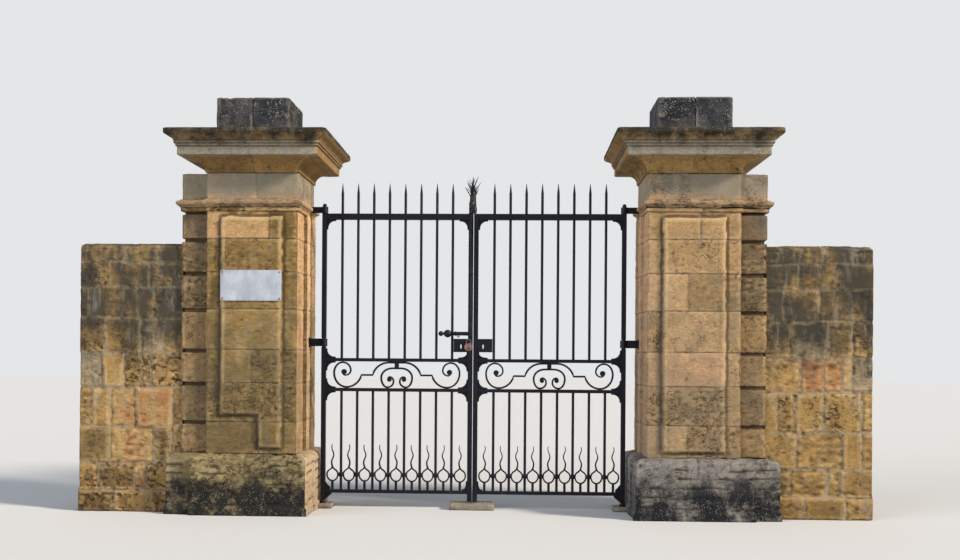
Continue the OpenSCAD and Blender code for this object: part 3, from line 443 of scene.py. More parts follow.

# The shafts. They are coursed ashlar with tight joints. The middle of the front and the back is
# left standing proud as a panel, the reveal has a groove with a jamb behind it, and a fillet ends
# the shaft. The left panel has lost most of its bottom course; on its reveal the groove is painted
# dark as painted shade, and the jamb light as a painted highlight.

course_tops = (shaft_foot, 0.795, 1.130, 1.420, 1.770, 2.090, 2.380, 2.620, 2.700)
fillet_foot = 2.620
fillet_out = 0.012
neck_foot = 2.654
jamb_out = 0.020
panel_x = (1.635, 2.165)
panel_z = (0.570, 2.570)
panel_out = 0.025
lost_top = 0.860
lost_keep = 0.200
ashlar_look = dict(offset=0.002, joint=0.005, deep=0.006, chip=0.005, rough=0.0045, pit=0.010,
                   limit=0.001)
ashlar = sandstone(
    "ochre ashlar", ["#7F6B4C", "#977C56", "#A98A62", "#B4966E", "#B8926F"], crust="#6E6552",
    crust_from=3.6, crust_to=1.1, crust_most=0.55, pit_depth=0.013)
# The left pier's ashlar is darker and browner than the right's: partly the stone's own colour,
# partly painted shade.
brown_and_shaded_ashlar = sandstone(
    "umber ashlar", ["#6B5631", "#7D653C", "#927848", "#AA8C5C", "#B8926A"], crust="#57503C",
    crust_from=3.4, crust_to=1.3, crust_most=0.55, pit_depth=0.013)
# The left pier's chosen stones take mostly dark tints: partly their own colour, partly painted
# shade.
chosen_stones = {
    "right": [(0, 0.62, 0.3), (1, 0.62, 0.5), (2, 0.25, 0.95), (16, 0.42, 0.95), (17, 0.32, 1.0),
              (18, 0.4, 0.6), (32, 0.95, 0.35), (33, 0.8, 0.55), (48, 0.38, 0.9), (49, 0.5, 0.5),
              (64, 0.85, 0.1), (65, 0.68, 0.2), (66, 0.05, 0.4), (80, 0.58, 0.5), (81, 0.3, 0.65),
              (96, 0.36, 0.35), (97, 0.33, 0.3)],
    "left": [(0, 0.45, 0.4), (1, 0.15, 0.5), (2, 0.12, 0.3), (16, 0.25, 0.9), (17, 0.42, 1.0),
             (18, 0.1, 0.95), (32, 0.2, 0.8), (33, 0.36, 0.45), (34, 0.22, 0.6), (48, 0.3, 0.4),
             (49, 0.4, 0.3), (64, 0.1, 0.3), (65, 0.25, 0.5), (66, 0.1, 0.4), (80, 0.2, 0.5),
             (81, 0.1, 0.6)]}
# Every stone on the reveals, grooves and jambs takes a pale tint: painted light, so the reveals
# read brighter.
for stones in chosen_stones.values():
    stones += [(per_edge * edge + per_course * course, 0.95, 0.4)
               for edge in range(3, 8) for course in range(8)]
front_uprights = {"left": ([1.64, 1.835], [1.635], [1.90, 2.165], [1.635, 2.165], [1.635], [1.93],
                           [1.75]),
                  "right": ([1.635, 1.84], [1.635, 2.165], [2.165], [1.635], [1.635, 1.84],
                            [1.635, 2.1], [1.95])}


def eased(distance, width):
    """0 outside, 1 inside, and 3t^2 - 2t^3 across the width in between."""
    t = np.clip(distance / width, 0, 1)
    return t * t * (3 - 2 * t)


over_strip = (("block", rectangle(reveal_x, pier_out_x, -pier_y, pier_y)),
              ("strip", rectangle(strip_x, quoin_out_x, -quoin_y, quoin_y)))
fillet = [(-0.02, fillet_foot - 0.0005), (fillet_out - 0.002, fillet_foot)]
fillet += [(fillet_out, z) for z in steps_through([fillet_foot + 0.004, neck_foot - 0.005], 0.0125)]
fillet += [(fillet_out - 0.003, neck_foot - 0.001), (-0.02, neck_foot)]
bed_rows = [z + d for z in course_tops[1:-2] for d in (-0.006, -0.002, 0.002, 0.006)]
heights = steps_through([shaft_foot - 0.004, fillet_foot + 0.004, *panel_z, lost_top, *bed_rows],
                        0.0115)
for side, mirrored in sides:
    seed = 31 if mirrored else 47
    draw = np.random.default_rng(seed)
    uprights = {edge: [np.arange(low + draw.uniform(0.18, 0.42), low + long - 0.1,
                                 draw.uniform(0.34, 0.5)) for _ in course_tops[1:]]
                for edge, low, long in ((0, reveal_x, 0.8), (1, -pier_y, 0.7),
                                        (2, reveal_x, 0.8))}
    uprights[0][:7] = front_uprights[side]
    stops = [(0, x - reveal_x) for x in (*panel_x, panel_x[0] + lost_keep)]
    stops += [(2, pier_out_x - x) for x in panel_x]
    edges, *grid = coursed(grooved_plan(reveal_x - jamb_out), 0.0115,
                           [(-0.001, z) for z in heights], course_tops, uprights, 0, stops)
    flat = grid[0]
    across, up = flat[..., 0], flat[..., 2]
    ragged = 0.0035 * noise(flat, 0.055, seed + 9)
    inside = np.minimum(np.minimum(across - panel_x[0], panel_x[1] - across),
                        np.minimum(up - panel_z[0], panel_z[1] - up)) + ragged
    if mirrored:
        kept = np.maximum(up - lost_top, panel_x[0] + lost_keep - across) + ragged
        inside = np.where(edges == 0, np.minimum(inside, kept), inside)
    lift = panel_out * eased(inside + 0.004, 0.010) * np.isin(edges, (0, 2))
    eaten = np.clip(noise(flat, 0.12, seed + 12) * 2.2 - 0.45, 0, 1) * eased(0.85 - up, 0.25)
    lift = lift - 0.018 * eaten * np.exp(-np.abs(inside) / 0.03)
    points, layers = aged(*grid, ashlar_look, seed, lift, chosen_stones[side])
    if mirrored:
        # Left reveal: the groove gets painted shade; the jamb gets a painted highlight and the
        # palest tint.
        layers["hollow"] += 0.85 * np.isin(edges, (4, 5, 6)) - 0.8 * (edges == 3)
        layers["tint"] = np.where(edges == 3, 1.1, layers["tint"])
    stone_mesh(f"{side}_shaft_stones", points, layers, mirrored,
               brown_and_shaded_ashlar if mirrored else ashlar, f"{side}_pier_shaft")
    for part, plan in over_strip:
        grid = coursed(plan, 0.015, fillet, one_course, {0: [[1.97]]})[1:]
        points, layers = aged(*grid, ashlar_look, seed + 20)
        stone_mesh(f"{side}_fillet_{part}", points, layers, mirrored,
                   brown_and_shaded_ashlar if mirrored else ashlar)

# The friezes. Each is a course that carries a roll between two flat bands at its foot, and
# then stands plain and upright to the cornice. It runs on over the quoin strip.

frieze_foot = 2.728
bed_foot = 2.950
neck_reach = 0.020
roll_radius = 0.025
turn = np.linspace(-np.pi / 2, np.pi / 2, 11)
frieze_profile = [(-0.02, neck_foot - 0.0005), (neck_reach - 0.002, neck_foot),
                  (neck_reach, neck_foot + 0.004), (neck_reach, neck_foot + 0.010)]
frieze_profile += zip(neck_reach + roll_radius * np.cos(turn),
                      neck_foot + 0.012 + roll_radius * (1 + np.sin(turn)))
frieze_profile += [(neck_reach, frieze_foot - 0.004), (0.004, frieze_foot)]
frieze_profile += [(-0.001, z) for z in steps_through([frieze_foot + 0.006, bed_foot - 0.004],
                                                      0.0125)]
frieze_profile += [(-0.02, bed_foot)]
frieze_look = dict(ashlar_look, pit=0.006, rough=0.0035)
frieze_stone = sandstone(
    "grey frieze sandstone", ["#7F6B50", "#957B5C", "#A5896A", "#A98A70"], crust="#837F6F",
    crust_from=2.62, crust_to=2.80, crust_most=0.78, pit_depth=0.012, runs=0.5, specks=0.35)
for side, mirrored in sides:
    seed = 61 if mirrored else 73
    for part, plan in over_strip:
        joints = {0: [[], [1.86]], 2: [[], [1.95]]} if part == "block" else {}
        grid = coursed(plan, 0.0125, frieze_profile, (-far, frieze_foot, far), joints)[1:]
        flat = grid[0]
        worn = np.clip(noise(flat, 0.17, seed + 6) * 2.2 - 0.2, 0, 1)
        lift = -0.011 * worn * eased(frieze_foot - flat[..., 2], 0.030)
        points, layers = aged(*grid, frieze_look, seed, lift)
        stone_mesh(f"{side}_frieze_{part}", points, layers, mirrored, frieze_stone,
                   f"{side}_pier_frieze")

# The cornices. Each is built of two long stones: a hollow bed mould, a flat face, two small
# steps and a crowning mould under a lip. Their tops are black with old rain and lichen.

corona_foot = 3.068
steps_foot = 3.141
crown_foot = 3.187
lip_foot = 3.243
cornice_top = 3.284
bed_reach = 0.120
corona_reach = 0.200
crown_reach = 0.290
turn = np.linspace(0, np.pi / 2, 10)
swell = np.linspace(0, 1, 10)[1:]
cornice_profile = [(-0.02, bed_foot - 0.0005), (0.011, bed_foot), (0.012, bed_foot + 0.012)]
cornice_profile += zip(bed_reach - (bed_reach - 0.012) * np.cos(turn),
                       bed_foot + 0.015 + 0.093 * np.sin(turn))
cornice_profile += [(bed_reach, corona_foot - 0.004), (bed_reach + 0.006, corona_foot),
                    (0.160, corona_foot), (corona_reach - 0.004, corona_foot)]
cornice_profile += [(corona_reach, z) for z in steps_through([corona_foot + 0.004,
                                                              steps_foot - 0.003], 0.013)]
cornice_profile += [(corona_reach + r, steps_foot + z) for r, z in (
    (0.010, 0.0), (0.012, 0.004), (0.012, 0.010), (0.012, 0.018), (0.022, 0.022),
    (0.024, 0.026), (0.024, 0.036), (0.024, 0.044))]
cornice_profile += zip(corona_reach + 0.024 + 0.033 * (1 - np.cos(np.pi * swell)),
                       crown_foot + 0.056 * swell)
cornice_profile += [(crown_reach, lip_foot + z) for z in (0.007, 0.017, 0.027)]
cornice_profile += [(crown_reach - 0.003, cornice_top - 0.006),
                    (crown_reach - 0.014, cornice_top - 0.002)]
cornice_profile += [(r, cornice_top - 0.003) for r in np.linspace(0.258, -0.07, 20)]
cornice_look = dict(offset=0.001, joint=0.005, deep=0.005, chip=0.004, rough=0.003, pit=0.004,
                    limit=0.0)
cornice_stone = sandstone(
    "lichened cornice sandstone", ["#7E6238", "#9A7A48", "#B08F5A"], crust="#28251D",
    crust_from=corona_foot + 0.002, crust_to=lip_foot - 0.003, crust_most=0.96, pit_depth=0.008,
    specks=0.3)
for side, mirrored in sides:
    seed = 83 if mirrored else 97
    edges, *grid = coursed(over_strip[0][1], 0.0125, cornice_profile, one_course,
                           {0: [[1.88]], 2: [[1.93]]}, crown_reach)
    up = grid[0][..., 2]
    points, layers = aged(*grid, cornice_look, seed)
    # Below the lip, the faces toward the opening carry little crust or lichen grey, so they read
    # light golden: painted light.
    layers["soot"] = np.where((edges == 3) & (up < lip_foot), 0.12, 1.0)
    # Dark lines at the foot of each small step, of the crown and of the lip: painted shadow, kept
    # clear of the lichen grey.
    step_shadow_lines = sum(np.exp(-((up - z) / 0.004) ** 2)
                for z in (steps_foot, steps_foot + 0.021, crown_foot, lip_foot))
    layers["hollow"] += 1.5 * step_shadow_lines
    layers["hollow"] += 0.6 * layers["soot"] * eased(up - lip_foot, 0.004)
    layers["grey"] = layers["soot"] * (eased(up - corona_foot + 0.004, 0.008)
                                       - 0.8 * eased(up - crown_foot + 0.008, 0.008))
    layers["grey"] *= 1 - 0.9 * np.minimum(step_shadow_lines, 1)
    stone_mesh(f"{side}_cornice_stones", points, layers, mirrored, cornice_stone,
               f"{side}_pier_cornice")

# The blocks on top. Each is two upright stones set side by side. They are nearly black and
# specked with lichen, paler where rain has rubbed their arrises, which also carry a painted
# highlight, and where lime has run from the joint.

block_x = (1.580, 2.220)
block_joint = 1.900
block_back = 0.210
block_top = 3.603
block_look = dict(offset=0.001, joint=0.004, deep=0.003, chip=0.007, rough=0.004, pit=0.008,
                  limit=0.0)
# Its pale colour on raised points and arrises is partly rubbed wear, partly a painted highlight.
cap_stone = sandstone(
    "blackened cap stone", ["#17191F", "#20232B", "#2B2E36", "#3D3E43"], crust="#716E68",
    crust_from=4.1, crust_to=3.2, crust_most=0.4, pit_depth=0.012, mortar="#8F8B84", runs=0.05,
    wear_and_highlight="#9A968E", specks=0.85)
block_profile = [(-0.001, z) for z in steps_through([cornice_top - 0.006, block_top - 0.010],
                                                    0.0125)]
block_profile += [(-0.004, block_top - 0.004)]
block_profile += [(r, block_top - 0.001) for r in np.linspace(-0.010, -0.140, 11)]
for side, mirrored in sides:
    for part, x0, x1 in (("inner", block_x[0], block_joint - 0.002),
                         ("outer", block_joint + 0.002, block_x[1])):
        edges, flat, out, number, gap, arris = coursed(
            rectangle(x0, x1, -pier_y, block_back), 0.0125, block_profile, one_course, {})
        seed = 103 + 2 * mirrored + (part == "outer")
        across, up = flat[..., 0] - block_joint, flat[..., 2] - block_top
        arris = np.where(np.abs(across) < 0.03, 1.0, arris)
        points, layers = aged(flat, out, number, gap, arris, block_look, seed)
        limed = np.exp(-((across - 0.012) / 0.012) ** 2) * eased(-0.103 - up, 0.08)
        bared = np.maximum(eased(up + 0.015, 0.01), np.exp(-arris / 0.009))
        layers["grey"] = 0.75 * np.maximum(limed, bared * (edges != 2))
        stone_mesh(f"{side}_block_{part}", points, layers, mirrored, cap_stone,
                   f"{side}_pier_block")

# The quoin strips beside the piers. Their stones stand 20 mm proud of wide flat joints, one
# stone to each course of the pier, with their arrises worn round.

joint_high = 0.022
joint_deep = 0.020
quoin_look = dict(offset=0.003, joint=0.003, deep=0.0, chip=0.007, rough=0.006, pit=0.010,
                  limit=0.0)
soft_ashlar = sandstone(
    "brown ochre ashlar", ["#5E5039", "#77644A", "#8E7450", "#9A7F5C"], crust="#4A463C",
    crust_from=1.2, crust_to=3.1, crust_most=0.7, pit_depth=0.013)
quoin_stones = [(0, 0.42, 0.55), (16, 0.22, 0.6), (32, 0.45, 0.45), (48, 0.5, 0.6),
                (64, 0.2, 0.75), (80, 0.2, 0.6), (96, 0.3, 0.3)]
quoin_profile = []
for low, high in zip(course_tops[:7], course_tops[1:8]):
    top = min(high, fillet_foot) - joint_high
    quoin_profile += [(-joint_deep, low + 0.001), (-0.008, low + 0.002), (-0.003, low + 0.008)]
    quoin_profile += [(-0.001, z) for z in steps_through([low + 0.016, top - 0.016], 0.0125)]
    quoin_profile += [(-0.003, top - 0.008), (-0.008, top - 0.002), (-joint_deep, top),
                      (-joint_deep, top + joint_high - 0.006)]
for side, mirrored in sides:
    seed = 113 if mirrored else 127
    grid = coursed(rectangle(pier_out_x - 0.100, quoin_out_x, -quoin_y, quoin_y), 0.0125,
                   quoin_profile, course_tops, {})[1:]
    recess = np.array(quoin_profile)[:, 0, None] < -0.007
    points, layers = aged(*grid, quoin_look, seed, 0.0, quoin_stones)
    # The recessed joints are painted dark brown: painted shade in the recess.
    layers["hollow"] = np.where(recess, 1.1, layers["hollow"])
    layers["joint"] *= 0.3
    stone_mesh(f"{side}_quoin_stones", points, layers, mirrored, soft_ashlar,
               f"{side}_quoins")

# The boundary walls. They are coursed rubble ashlar over a base course, topped with a low
# rounded crown, and run on from the quoin strips. Their mortar is wide, pale and washed out.

wall_end = 3.430
wall_y = (-0.280, 0.220)
wall_top = 2.300
wall_crown = 0.060
base_top = 0.200
base_out = 0.025
wall_beds = (-far, base_top, 0.428, 0.743, 1.084, 1.380, 1.690, 1.960, 2.180, far)
wall_look = dict(offset=0.007, joint=0.017, deep=0.005, chip=0.007, rough=0.010, pit=0.013,
                 limit=0.001)
wall_stone = sandstone(
    "coursed wall sandstone", ["#725F3D", "#896E43", "#9A7B49", "#A48858", "#9C6C46"],
    crust="#3B3830", crust_from=0.88, crust_to=1.64, crust_most=0.95, pit_depth=0.016,
    mortar="#98876A", runs=0.5, washed=0.34)
mid_y = (wall_y[0] + wall_y[1]) / 2
arc = np.radians(np.arange(22.5, 180, 22.5))
section = [(wall_y[0] - base_out, 0.0), (wall_y[1] + base_out, 0.0),
           (wall_y[1] + base_out, base_top), (wall_y[1], base_top + 0.012),
           (wall_y[1], wall_top),
           *zip(mid_y + (wall_y[1] - mid_y) * np.cos(arc), wall_top + wall_crown * np.sin(arc)),
           (wall_y[0], wall_top), (wall_y[0], base_top + 0.012),
           (wall_y[0] - base_out, base_top)]
front_joints = [[2.86, 3.2], [2.743, 3.059, 3.16], [2.787, 3.182, 3.337],
                [2.625, 2.787, 3.017, 3.337], [2.825, 3.012, 3.17, 3.255],
                [2.749, 3.053, 3.262], [2.68, 2.98, 3.25], [2.8, 3.14], [2.66, 3.02, 3.3]]
# Stones 16 to 19 and 32 to 35, in the two courses above the base, take dark tints: painted shade.
wall_stones = [(65, 0.88, 0.35), (66, 0.78, 0.3), (64, 0.4, 0.5), (67, 0.55, 0.4), (48, 0.3, 0.5),
               (49, 0.25, 0.8), (50, 0.5, 0.6), (51, 0.5, 0.88), (52, 0.5, 0.5), (32, 0.32, 0.55),
               (33, 0.2, 0.35), (34, 0.3, 0.3), (35, 0.2, 0.4), (16, 0.2, 0.4), (17, 0.3, 0.3),
               (18, 0.2, 0.4), (19, 0.1, 0.4)]
limed = (68, 81)
painted_shade_top = 0.400
wall_turn = 6.0
for side, mirrored in sides:
    seed = 139 if mirrored else 151
    draw = np.random.default_rng(seed)
    path = outline(section, 0.0125)
    stations = steps_through([quoin_out_x - 0.01, wall_end], 0.0125)
    flat, out, arris = carried(path, [(0.0, x) for x in stations])
    flat, out = np.roll(flat, 1, axis=-1), np.roll(out, 1, axis=-1)
    joints = front_joints
    if mirrored:
        joints = [np.sort(wall_turn - np.array(row) + draw.uniform(-0.06, 0.06))
                  for row in front_joints]
    sway = 0.012 * noise(flat * [1, 0, 0.3], 0.4, seed + 7)
    sway = sway + 0.007 * noise(flat, 0.13, seed + 8)
    number, gap = bonded(flat[..., 0] + 0.5 * sway, flat[..., 2] + sway, wall_beds, joints)
    gap = np.maximum(gap - 0.014 * np.maximum(noise(flat, 0.16, seed + 9), 0), 0)
    points, layers = aged(flat, out, number, gap, arris, wall_look, seed, 0.0,
                          [] if mirrored else wall_stones)
    layers["grey"] = 0.55 * np.isin(number, limed)
    # The wall is painted darker towards its foot, fading out 0.4 m up: painted shade.
    layers["hollow"] = layers["hollow"] + 0.65 * np.clip(1 - points[..., 2] / painted_shade_top, 0, 1)
    points[..., 2] = np.maximum(points[..., 2], 0.0)
    stone_mesh(f"{side}_wall_stones", points, layers, mirrored, wall_stone,
               f"{side}_wall")

# The low stones: one under each hinge stile, with the pivot cup let into it, and a pale sill
# under the meeting stiles. Wheels and feet have worn them smooth.

sill_profile = [(-0.001, z) for z in (0.0, 0.010, 0.020, 0.030, 0.042, 0.049)]
sill_profile += [(-0.004, 0.0535), (-0.010, 0.055)]
sill_profile += [(r, 0.0555) for r in np.linspace(-0.020, -0.085, 6)]
pivot_profile = [(-0.001, z) for z in (0.0, 0.012, 0.024, 0.032)]
pivot_profile += [(-0.003, 0.036), (-0.008, 0.0375)]
pivot_profile += [(r, 0.0375) for r in np.linspace(-0.018, -0.055, 4)]
worn_look = dict(offset=0.0, joint=0.004, deep=0.0, chip=0.002, rough=0.0015, pit=0.003, limit=0.0)
worn_stone = sandstone(
    "worn threshold stone", ["#7D766A", "#958C7C", "#A89F8C", "#B5AB97"], crust="#4A4744",
    crust_from=0.06, crust_to=0.0, crust_most=0.75, pit_depth=0.006)
pivot_plan = rectangle(1.260, 1.385, -0.015, 0.175)
for name, plan, profile in (
        ("sill_stone", rectangle(-0.200, 0.200, -0.020, 0.180), sill_profile),
        ("left_pivot_stone", pivot_plan, pivot_profile),
        ("right_pivot_stone", pivot_plan, pivot_profile)):
    flat, out, arris = carried(outline(plan, 0.012), profile)
    number = np.zeros(flat.shape[:2], int)
    points, layers = aged(flat, out, number, np.ones(number.shape), arris, worn_look, 171)
    stone_mesh(f"{name}_worn", points, layers, name.startswith("left"), worn_stone,
               name)

# The plate on the left pier: a blank sheet of enamelled steel, a little domed, with its rim
# turned back and a screw in each corner. Rain has left grey drips under the rim and rust runs
# under the screws.


def metal_mesh(name, body, stacks, surface, replaced=None, layers=None, looped=False):
    """Makes one closed mesh of several stacks of rings. It is smooth but for edges over 35
    degrees, or flat on every face if its stacks are looped."""
    faces, start = [], 0
    for stack in stacks:
        faces += ring_faces(*stack.shape[:2], start, looped)
        start += stack.shape[0] * stack.shape[1]
    points = np.concatenate([stack.reshape(-1, 3) for stack in stacks])
    mesh = placed_mesh(name, body, points, faces, surface, replaced, layers or {})
    if not looped:
        mesh.polygons.foreach_set("use_smooth", [True] * len(faces))
        mesh.set_sharp_from_angle(angle=np.radians(35))


def turned(centre, way, radius, profile, count=12):
    """Rings of a turned head: the radius times each (reach, height) of the profile, with the
    reach round the way and the height along it."""
    way = np.array(way, float)
    side = np.cross(way, (1.0, 0.0, 0.0) if abs(way[2]) > 0.5 else (0.0, 0.0, 1.0))
    angle = np.arange(count) * 2 * np.pi / count
    ring = np.cos(angle)[:, None] * side + np.sin(angle)[:, None] * np.cross(way, side)
    reach, height = np.array(profile, float).T
    return centre + radius * (reach[:, None, None] * ring + height[:, None, None] * way)


def oval(width, height, power, count=48):
    """A closed curve |2x/width|^power + |2z/height|^power = 1: power 2 is an ellipse, and a high
    power is a rectangle with round corners."""
    angle = np.linspace(0, 2 * np.pi, count, endpoint=False)
    bend = [np.sign(f) * np.abs(f) ** (2 / power) for f in (np.cos(angle), np.sin(angle))]
    return np.stack([bend[0] * width / 2, bend[1] * height / 2], axis=1)


def raised(shape, centre, levels, ahead=-1.0):
    """Rings of a thin plate in the gate's plane: the shape drawn in by each level's inset, at
    each level's distance in front of the centre (behind it when ahead is 1)."""
    size = np.abs(shape).max(axis=0)
    rings = []
    for inset, stand in levels:
        drawn = shape * (1 - inset / size)
        x, z = centre[0] - ahead * drawn[:, 0], centre[2] + drawn[:, 1]
        rings.append(np.stack([x, np.full(len(x), centre[1] + ahead * stand), z], axis=1))
    return np.array(rings)[:, ::-1]


dome = [(0.96, -0.25), (1.0, 0.05), (0.93, 0.30), (0.74, 0.50), (0.42, 0.62), (0.12, 0.65)]
slotted = [(0.94, -0.25), (1.0, 0.10), (0.88, 0.28), (0.60, 0.36), (0.55, 0.12), (0.20, 0.10)]
plate_middle = np.array([0.0, -0.375, 1.973])
plate_size = (0.530, 0.266)
plate_thick = 0.0095
plate_shape = oval(*plate_size, 26, 160)
plate_levels = [(0.001, 0.001), (0.0, 0.003), (0.0, 0.007), (0.0015, 0.0085),
                (0.004, plate_thick)]
plate_levels += [(inset, plate_thick + 0.0020 * np.sin(inset / 0.13 * np.pi / 2))
                 for inset in (0.009, 0.018, 0.032, 0.052, 0.076, 0.102, 0.126)]
plate_rings = raised(plate_shape, plate_middle, plate_levels)
across, up = plate_rings[..., 0], plate_rings[..., 2] - plate_middle[2]
rim = np.minimum(plate_size[0] / 2 - np.abs(across), plate_size[1] / 2 - np.abs(up))
screws = [(x, z) for x in (-0.248, 0.248) for z in (-0.115, 0.115)]
runs = np.zeros(across.shape)
for x, z in screws:
    below = np.maximum(z - up, 0)
    runs = np.maximum(runs, np.exp(-((across - x) / 0.008) ** 2 - below / 0.05)
                      * (up < z + 0.012))
enamel, tree, shader, node = new_surface("pale enamel on sheet steel", 0.32, 0.5)
place = node("TexCoord", out="Object")
drips = node("Mapping", place, named={"Scale": (1, 1, 0.12)})
edge, rust = (node("Attribute", attribute_name=key, out="Fac") for key in ("rim", "runs"))
tone = node("MapRange", node("TexNoise", place, 7, 6, 0.6), 0.35, 0.65)
colour = node("Mix", tone, "#98A0AB", "#B3B9C2", **mix)
grime = node("Math", node("TexNoise", drips, 34, 7, 0.7), node("Math", edge, 0.22, **times))
grime = node("MapRange", grime, 0.52, 0.80, 0.0, 0.55)
colour = node("Mix", grime, colour, "#6F7072", **mix)
speck = node("MapRange", node("TexNoise", place, 160, 4, 0.7), 0.62, 0.70, 0.0, 0.6)
colour = node("Mix", speck, colour, "#5D5A58", **mix)
rusted = node("MapRange", node("TexNoise", drips, 90, 5, 0.6), 0.35, 0.6)
colour = node("Mix", node("Math", rust, rusted, **times), colour, "#7A4A2C", **mix)
ripple = node("Bump", named={"Height": node("TexNoise", place, 9, 3, 0.6), "Strength": 0.5,
                             "Distance": 0.004})
tree.links.new(colour, shader.inputs["Base Color"])
tree.links.new(node("MapRange", grime, 0.0, 0.5, 0.28, 0.7), shader.inputs["Roughness"])
tree.links.new(ripple, shader.inputs["Normal"])
metal_mesh("enamelled_plate", "piers", [plate_rings], enamel, "plain_plate",
           {"rim": np.exp(-rim / 0.010), "runs": runs})

# The painted iron. It is forged, so its faces are uneven; its oil paint is nearly black and a
# little blue, dusty on top, and rust comes through on upward faces and near the ground.


def painted_iron(name, dark, light, rust_from):
    """Oil paint on forged iron: two tones in broad patches, hammer marks 24 mm and brush marks
    4 mm apart as bumps, and rust where a noise, the face's tilt and its height add up to enough."""
    made, tree, shader, node = new_surface(name, 0.5, 0.22)
    place = node("TexCoord", out="Object")
    tilt = node("SeparateXYZ", node("NewGeometry", out="Normal"), out="Z")
    height = node("SeparateXYZ", place, out="Z")
    tone = node("MapRange", node("TexNoise", place, 5, 6, 0.6), 0.38, 0.62)
    colour = node("Mix", tone, dark, light, **mix)
    dust = node("Math", node("MapRange", tilt, 0.5, 0.95, 0.0, 0.35),
                node("MapRange", node("TexNoise", place, 18, 5, 0.6), 0.4, 0.6), **times)
    colour = node("Mix", dust, colour, "#5B5850", **mix)
    laid = node("Math", node("TexNoise", place, 21, 9, 0.72),
                node("MapRange", tilt, 0.0, 1.0, 0.0, 0.05))
    laid = node("Math", laid, node("MapRange", height, 0.9, 0.0, 0.0, 0.07))
    laid = node("MapRange", laid, rust_from, rust_from + 0.06)
    tone = node("MapRange", node("TexNoise", place, 120, 5, 0.7), 0.4, 0.62)
    scale = node("Mix", tone, "#2A1811", "#633C26", **mix)
    colour = node("Mix", laid, colour, scale, **mix)
    brushed = node("MapRange", node("TexNoise", place, 30, 4, 0.6), 0.3, 0.7, 0.34, 0.58)
    rough = node("Math", brushed, node("MapRange", laid, 0.0, 1.0, 0.0, 0.92),
                 operation="MAXIMUM")
    long = node("Mapping", place, named={"Scale": (1, 1, 0.35)})
    bump = node("Bump", named={"Height": node("TexNoise", place, 42, 2, 0.5), "Strength": 0.8,
                               "Distance": 0.0022})
    bump = node("Bump", named={"Height": node("TexNoise", long, 260, 3, 0.6), "Strength": 0.5,
                               "Distance": 0.0006, "Normal": bump})
    flakes = node("Math", laid, scale, **times)
    bump = node("Bump", named={"Height": flakes, "Strength": 0.7, "Distance": 0.003,
                               "Normal": bump})
    tree.links.new(colour, shader.inputs["Base Color"])
    tree.links.new(rough, shader.inputs["Roughness"])
    tree.links.new(bump, shader.inputs["Normal"])
    return made


oil_black = painted_iron("oil black paint on wrought iron", "#05060B", "#0B0F1C", 0.655)
bare_worn = painted_iron("rubbed dark iron", "#0B0B0D", "#171615", 0.60)
iron_words = ("stile", "rails", "bars", "scrolls", "plates", "case", "straps", "finial", "rod",
              "guides")
for name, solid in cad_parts.items():
    if name.endswith((*iron_words, "cup")):
        solid.data.materials.clear()
        solid.data.materials.append(bare_worn if name.endswith("cup") else oil_black)
        solid.data.set_sharp_from_angle(angle=np.radians(32))
for name in ("hinge_stile", "meeting_stile", "rails", "corner_plates", "lock_case"):
    for side in ("left", "right"):
        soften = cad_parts[f"{side}_{name}"].modifiers.new("eased edges", "BEVEL")
        soften.width = 0.0018
        soften.segments = 2
        soften.limit_method = "ANGLE"
        soften.angle_limit = np.radians(50)
        soften.harden_normals = True
metal_mesh("plate_screws", "piers",
           [turned((x, plate_middle[1] - plate_thick, plate_middle[2] + z), (0, -1, 0), 0.006,
                   slotted) for x, z in screws], bare_worn)

# The rivets. Three iron rivets with domed heads hold each hollow corner plate to its rail and
# stile. They go right through and show on both faces.

gate_y = 0.080
hinge_face = (0.570, 3.230)
meet_face = (1.855, 1.945)
plate_spots = ((1.050, -1), (1.080, 1), (1.320, -1), (2.600, -1), (1.350, 1))
plate_face = 0.006
rivets = ((0.017, 0.017, 0.0065), (0.062, 0.008, 0.0048), (0.008, 0.052, 0.0048))
for side, hinge_x, meet_x, inward in (("left", hinge_face[0], meet_face[0], 1),
                                      ("right", hinge_face[1], meet_face[1], -1)):
    corners = [(hinge_x, z, inward, up) for z, up in plate_spots]
    corners += [(meet_x, z, -inward, up) for z, up in plate_spots]
    heads = [turned((x + along * dx, gate_y + face * plate_face, z + up * dz), (0, face, 0),
                    radius, dome, 10)
             for x, z, along, up in corners for dx, dz, radius in rivets for face in (-1, 1)]
    metal_mesh(f"{side}_plate_rivets", f"{side}_leaf", heads, oil_black)

# The lock cases. Each is a box riveted together from sheet: a raised rim runs round its faces,
# a screw sits in each corner, and an oval guard stands round the keyhole.


def framed(shape, hole, centre, levels, ahead):
    """Rings of a plate with a hole, which close on themselves: the outer shape at each level
    and back down the hole."""
    outer = raised(shape, centre, levels, ahead)
    inner = raised(hole, centre, [(-inset, stand) for inset, stand in levels], ahead)
    return np.concatenate([outer, inner[::-1]])


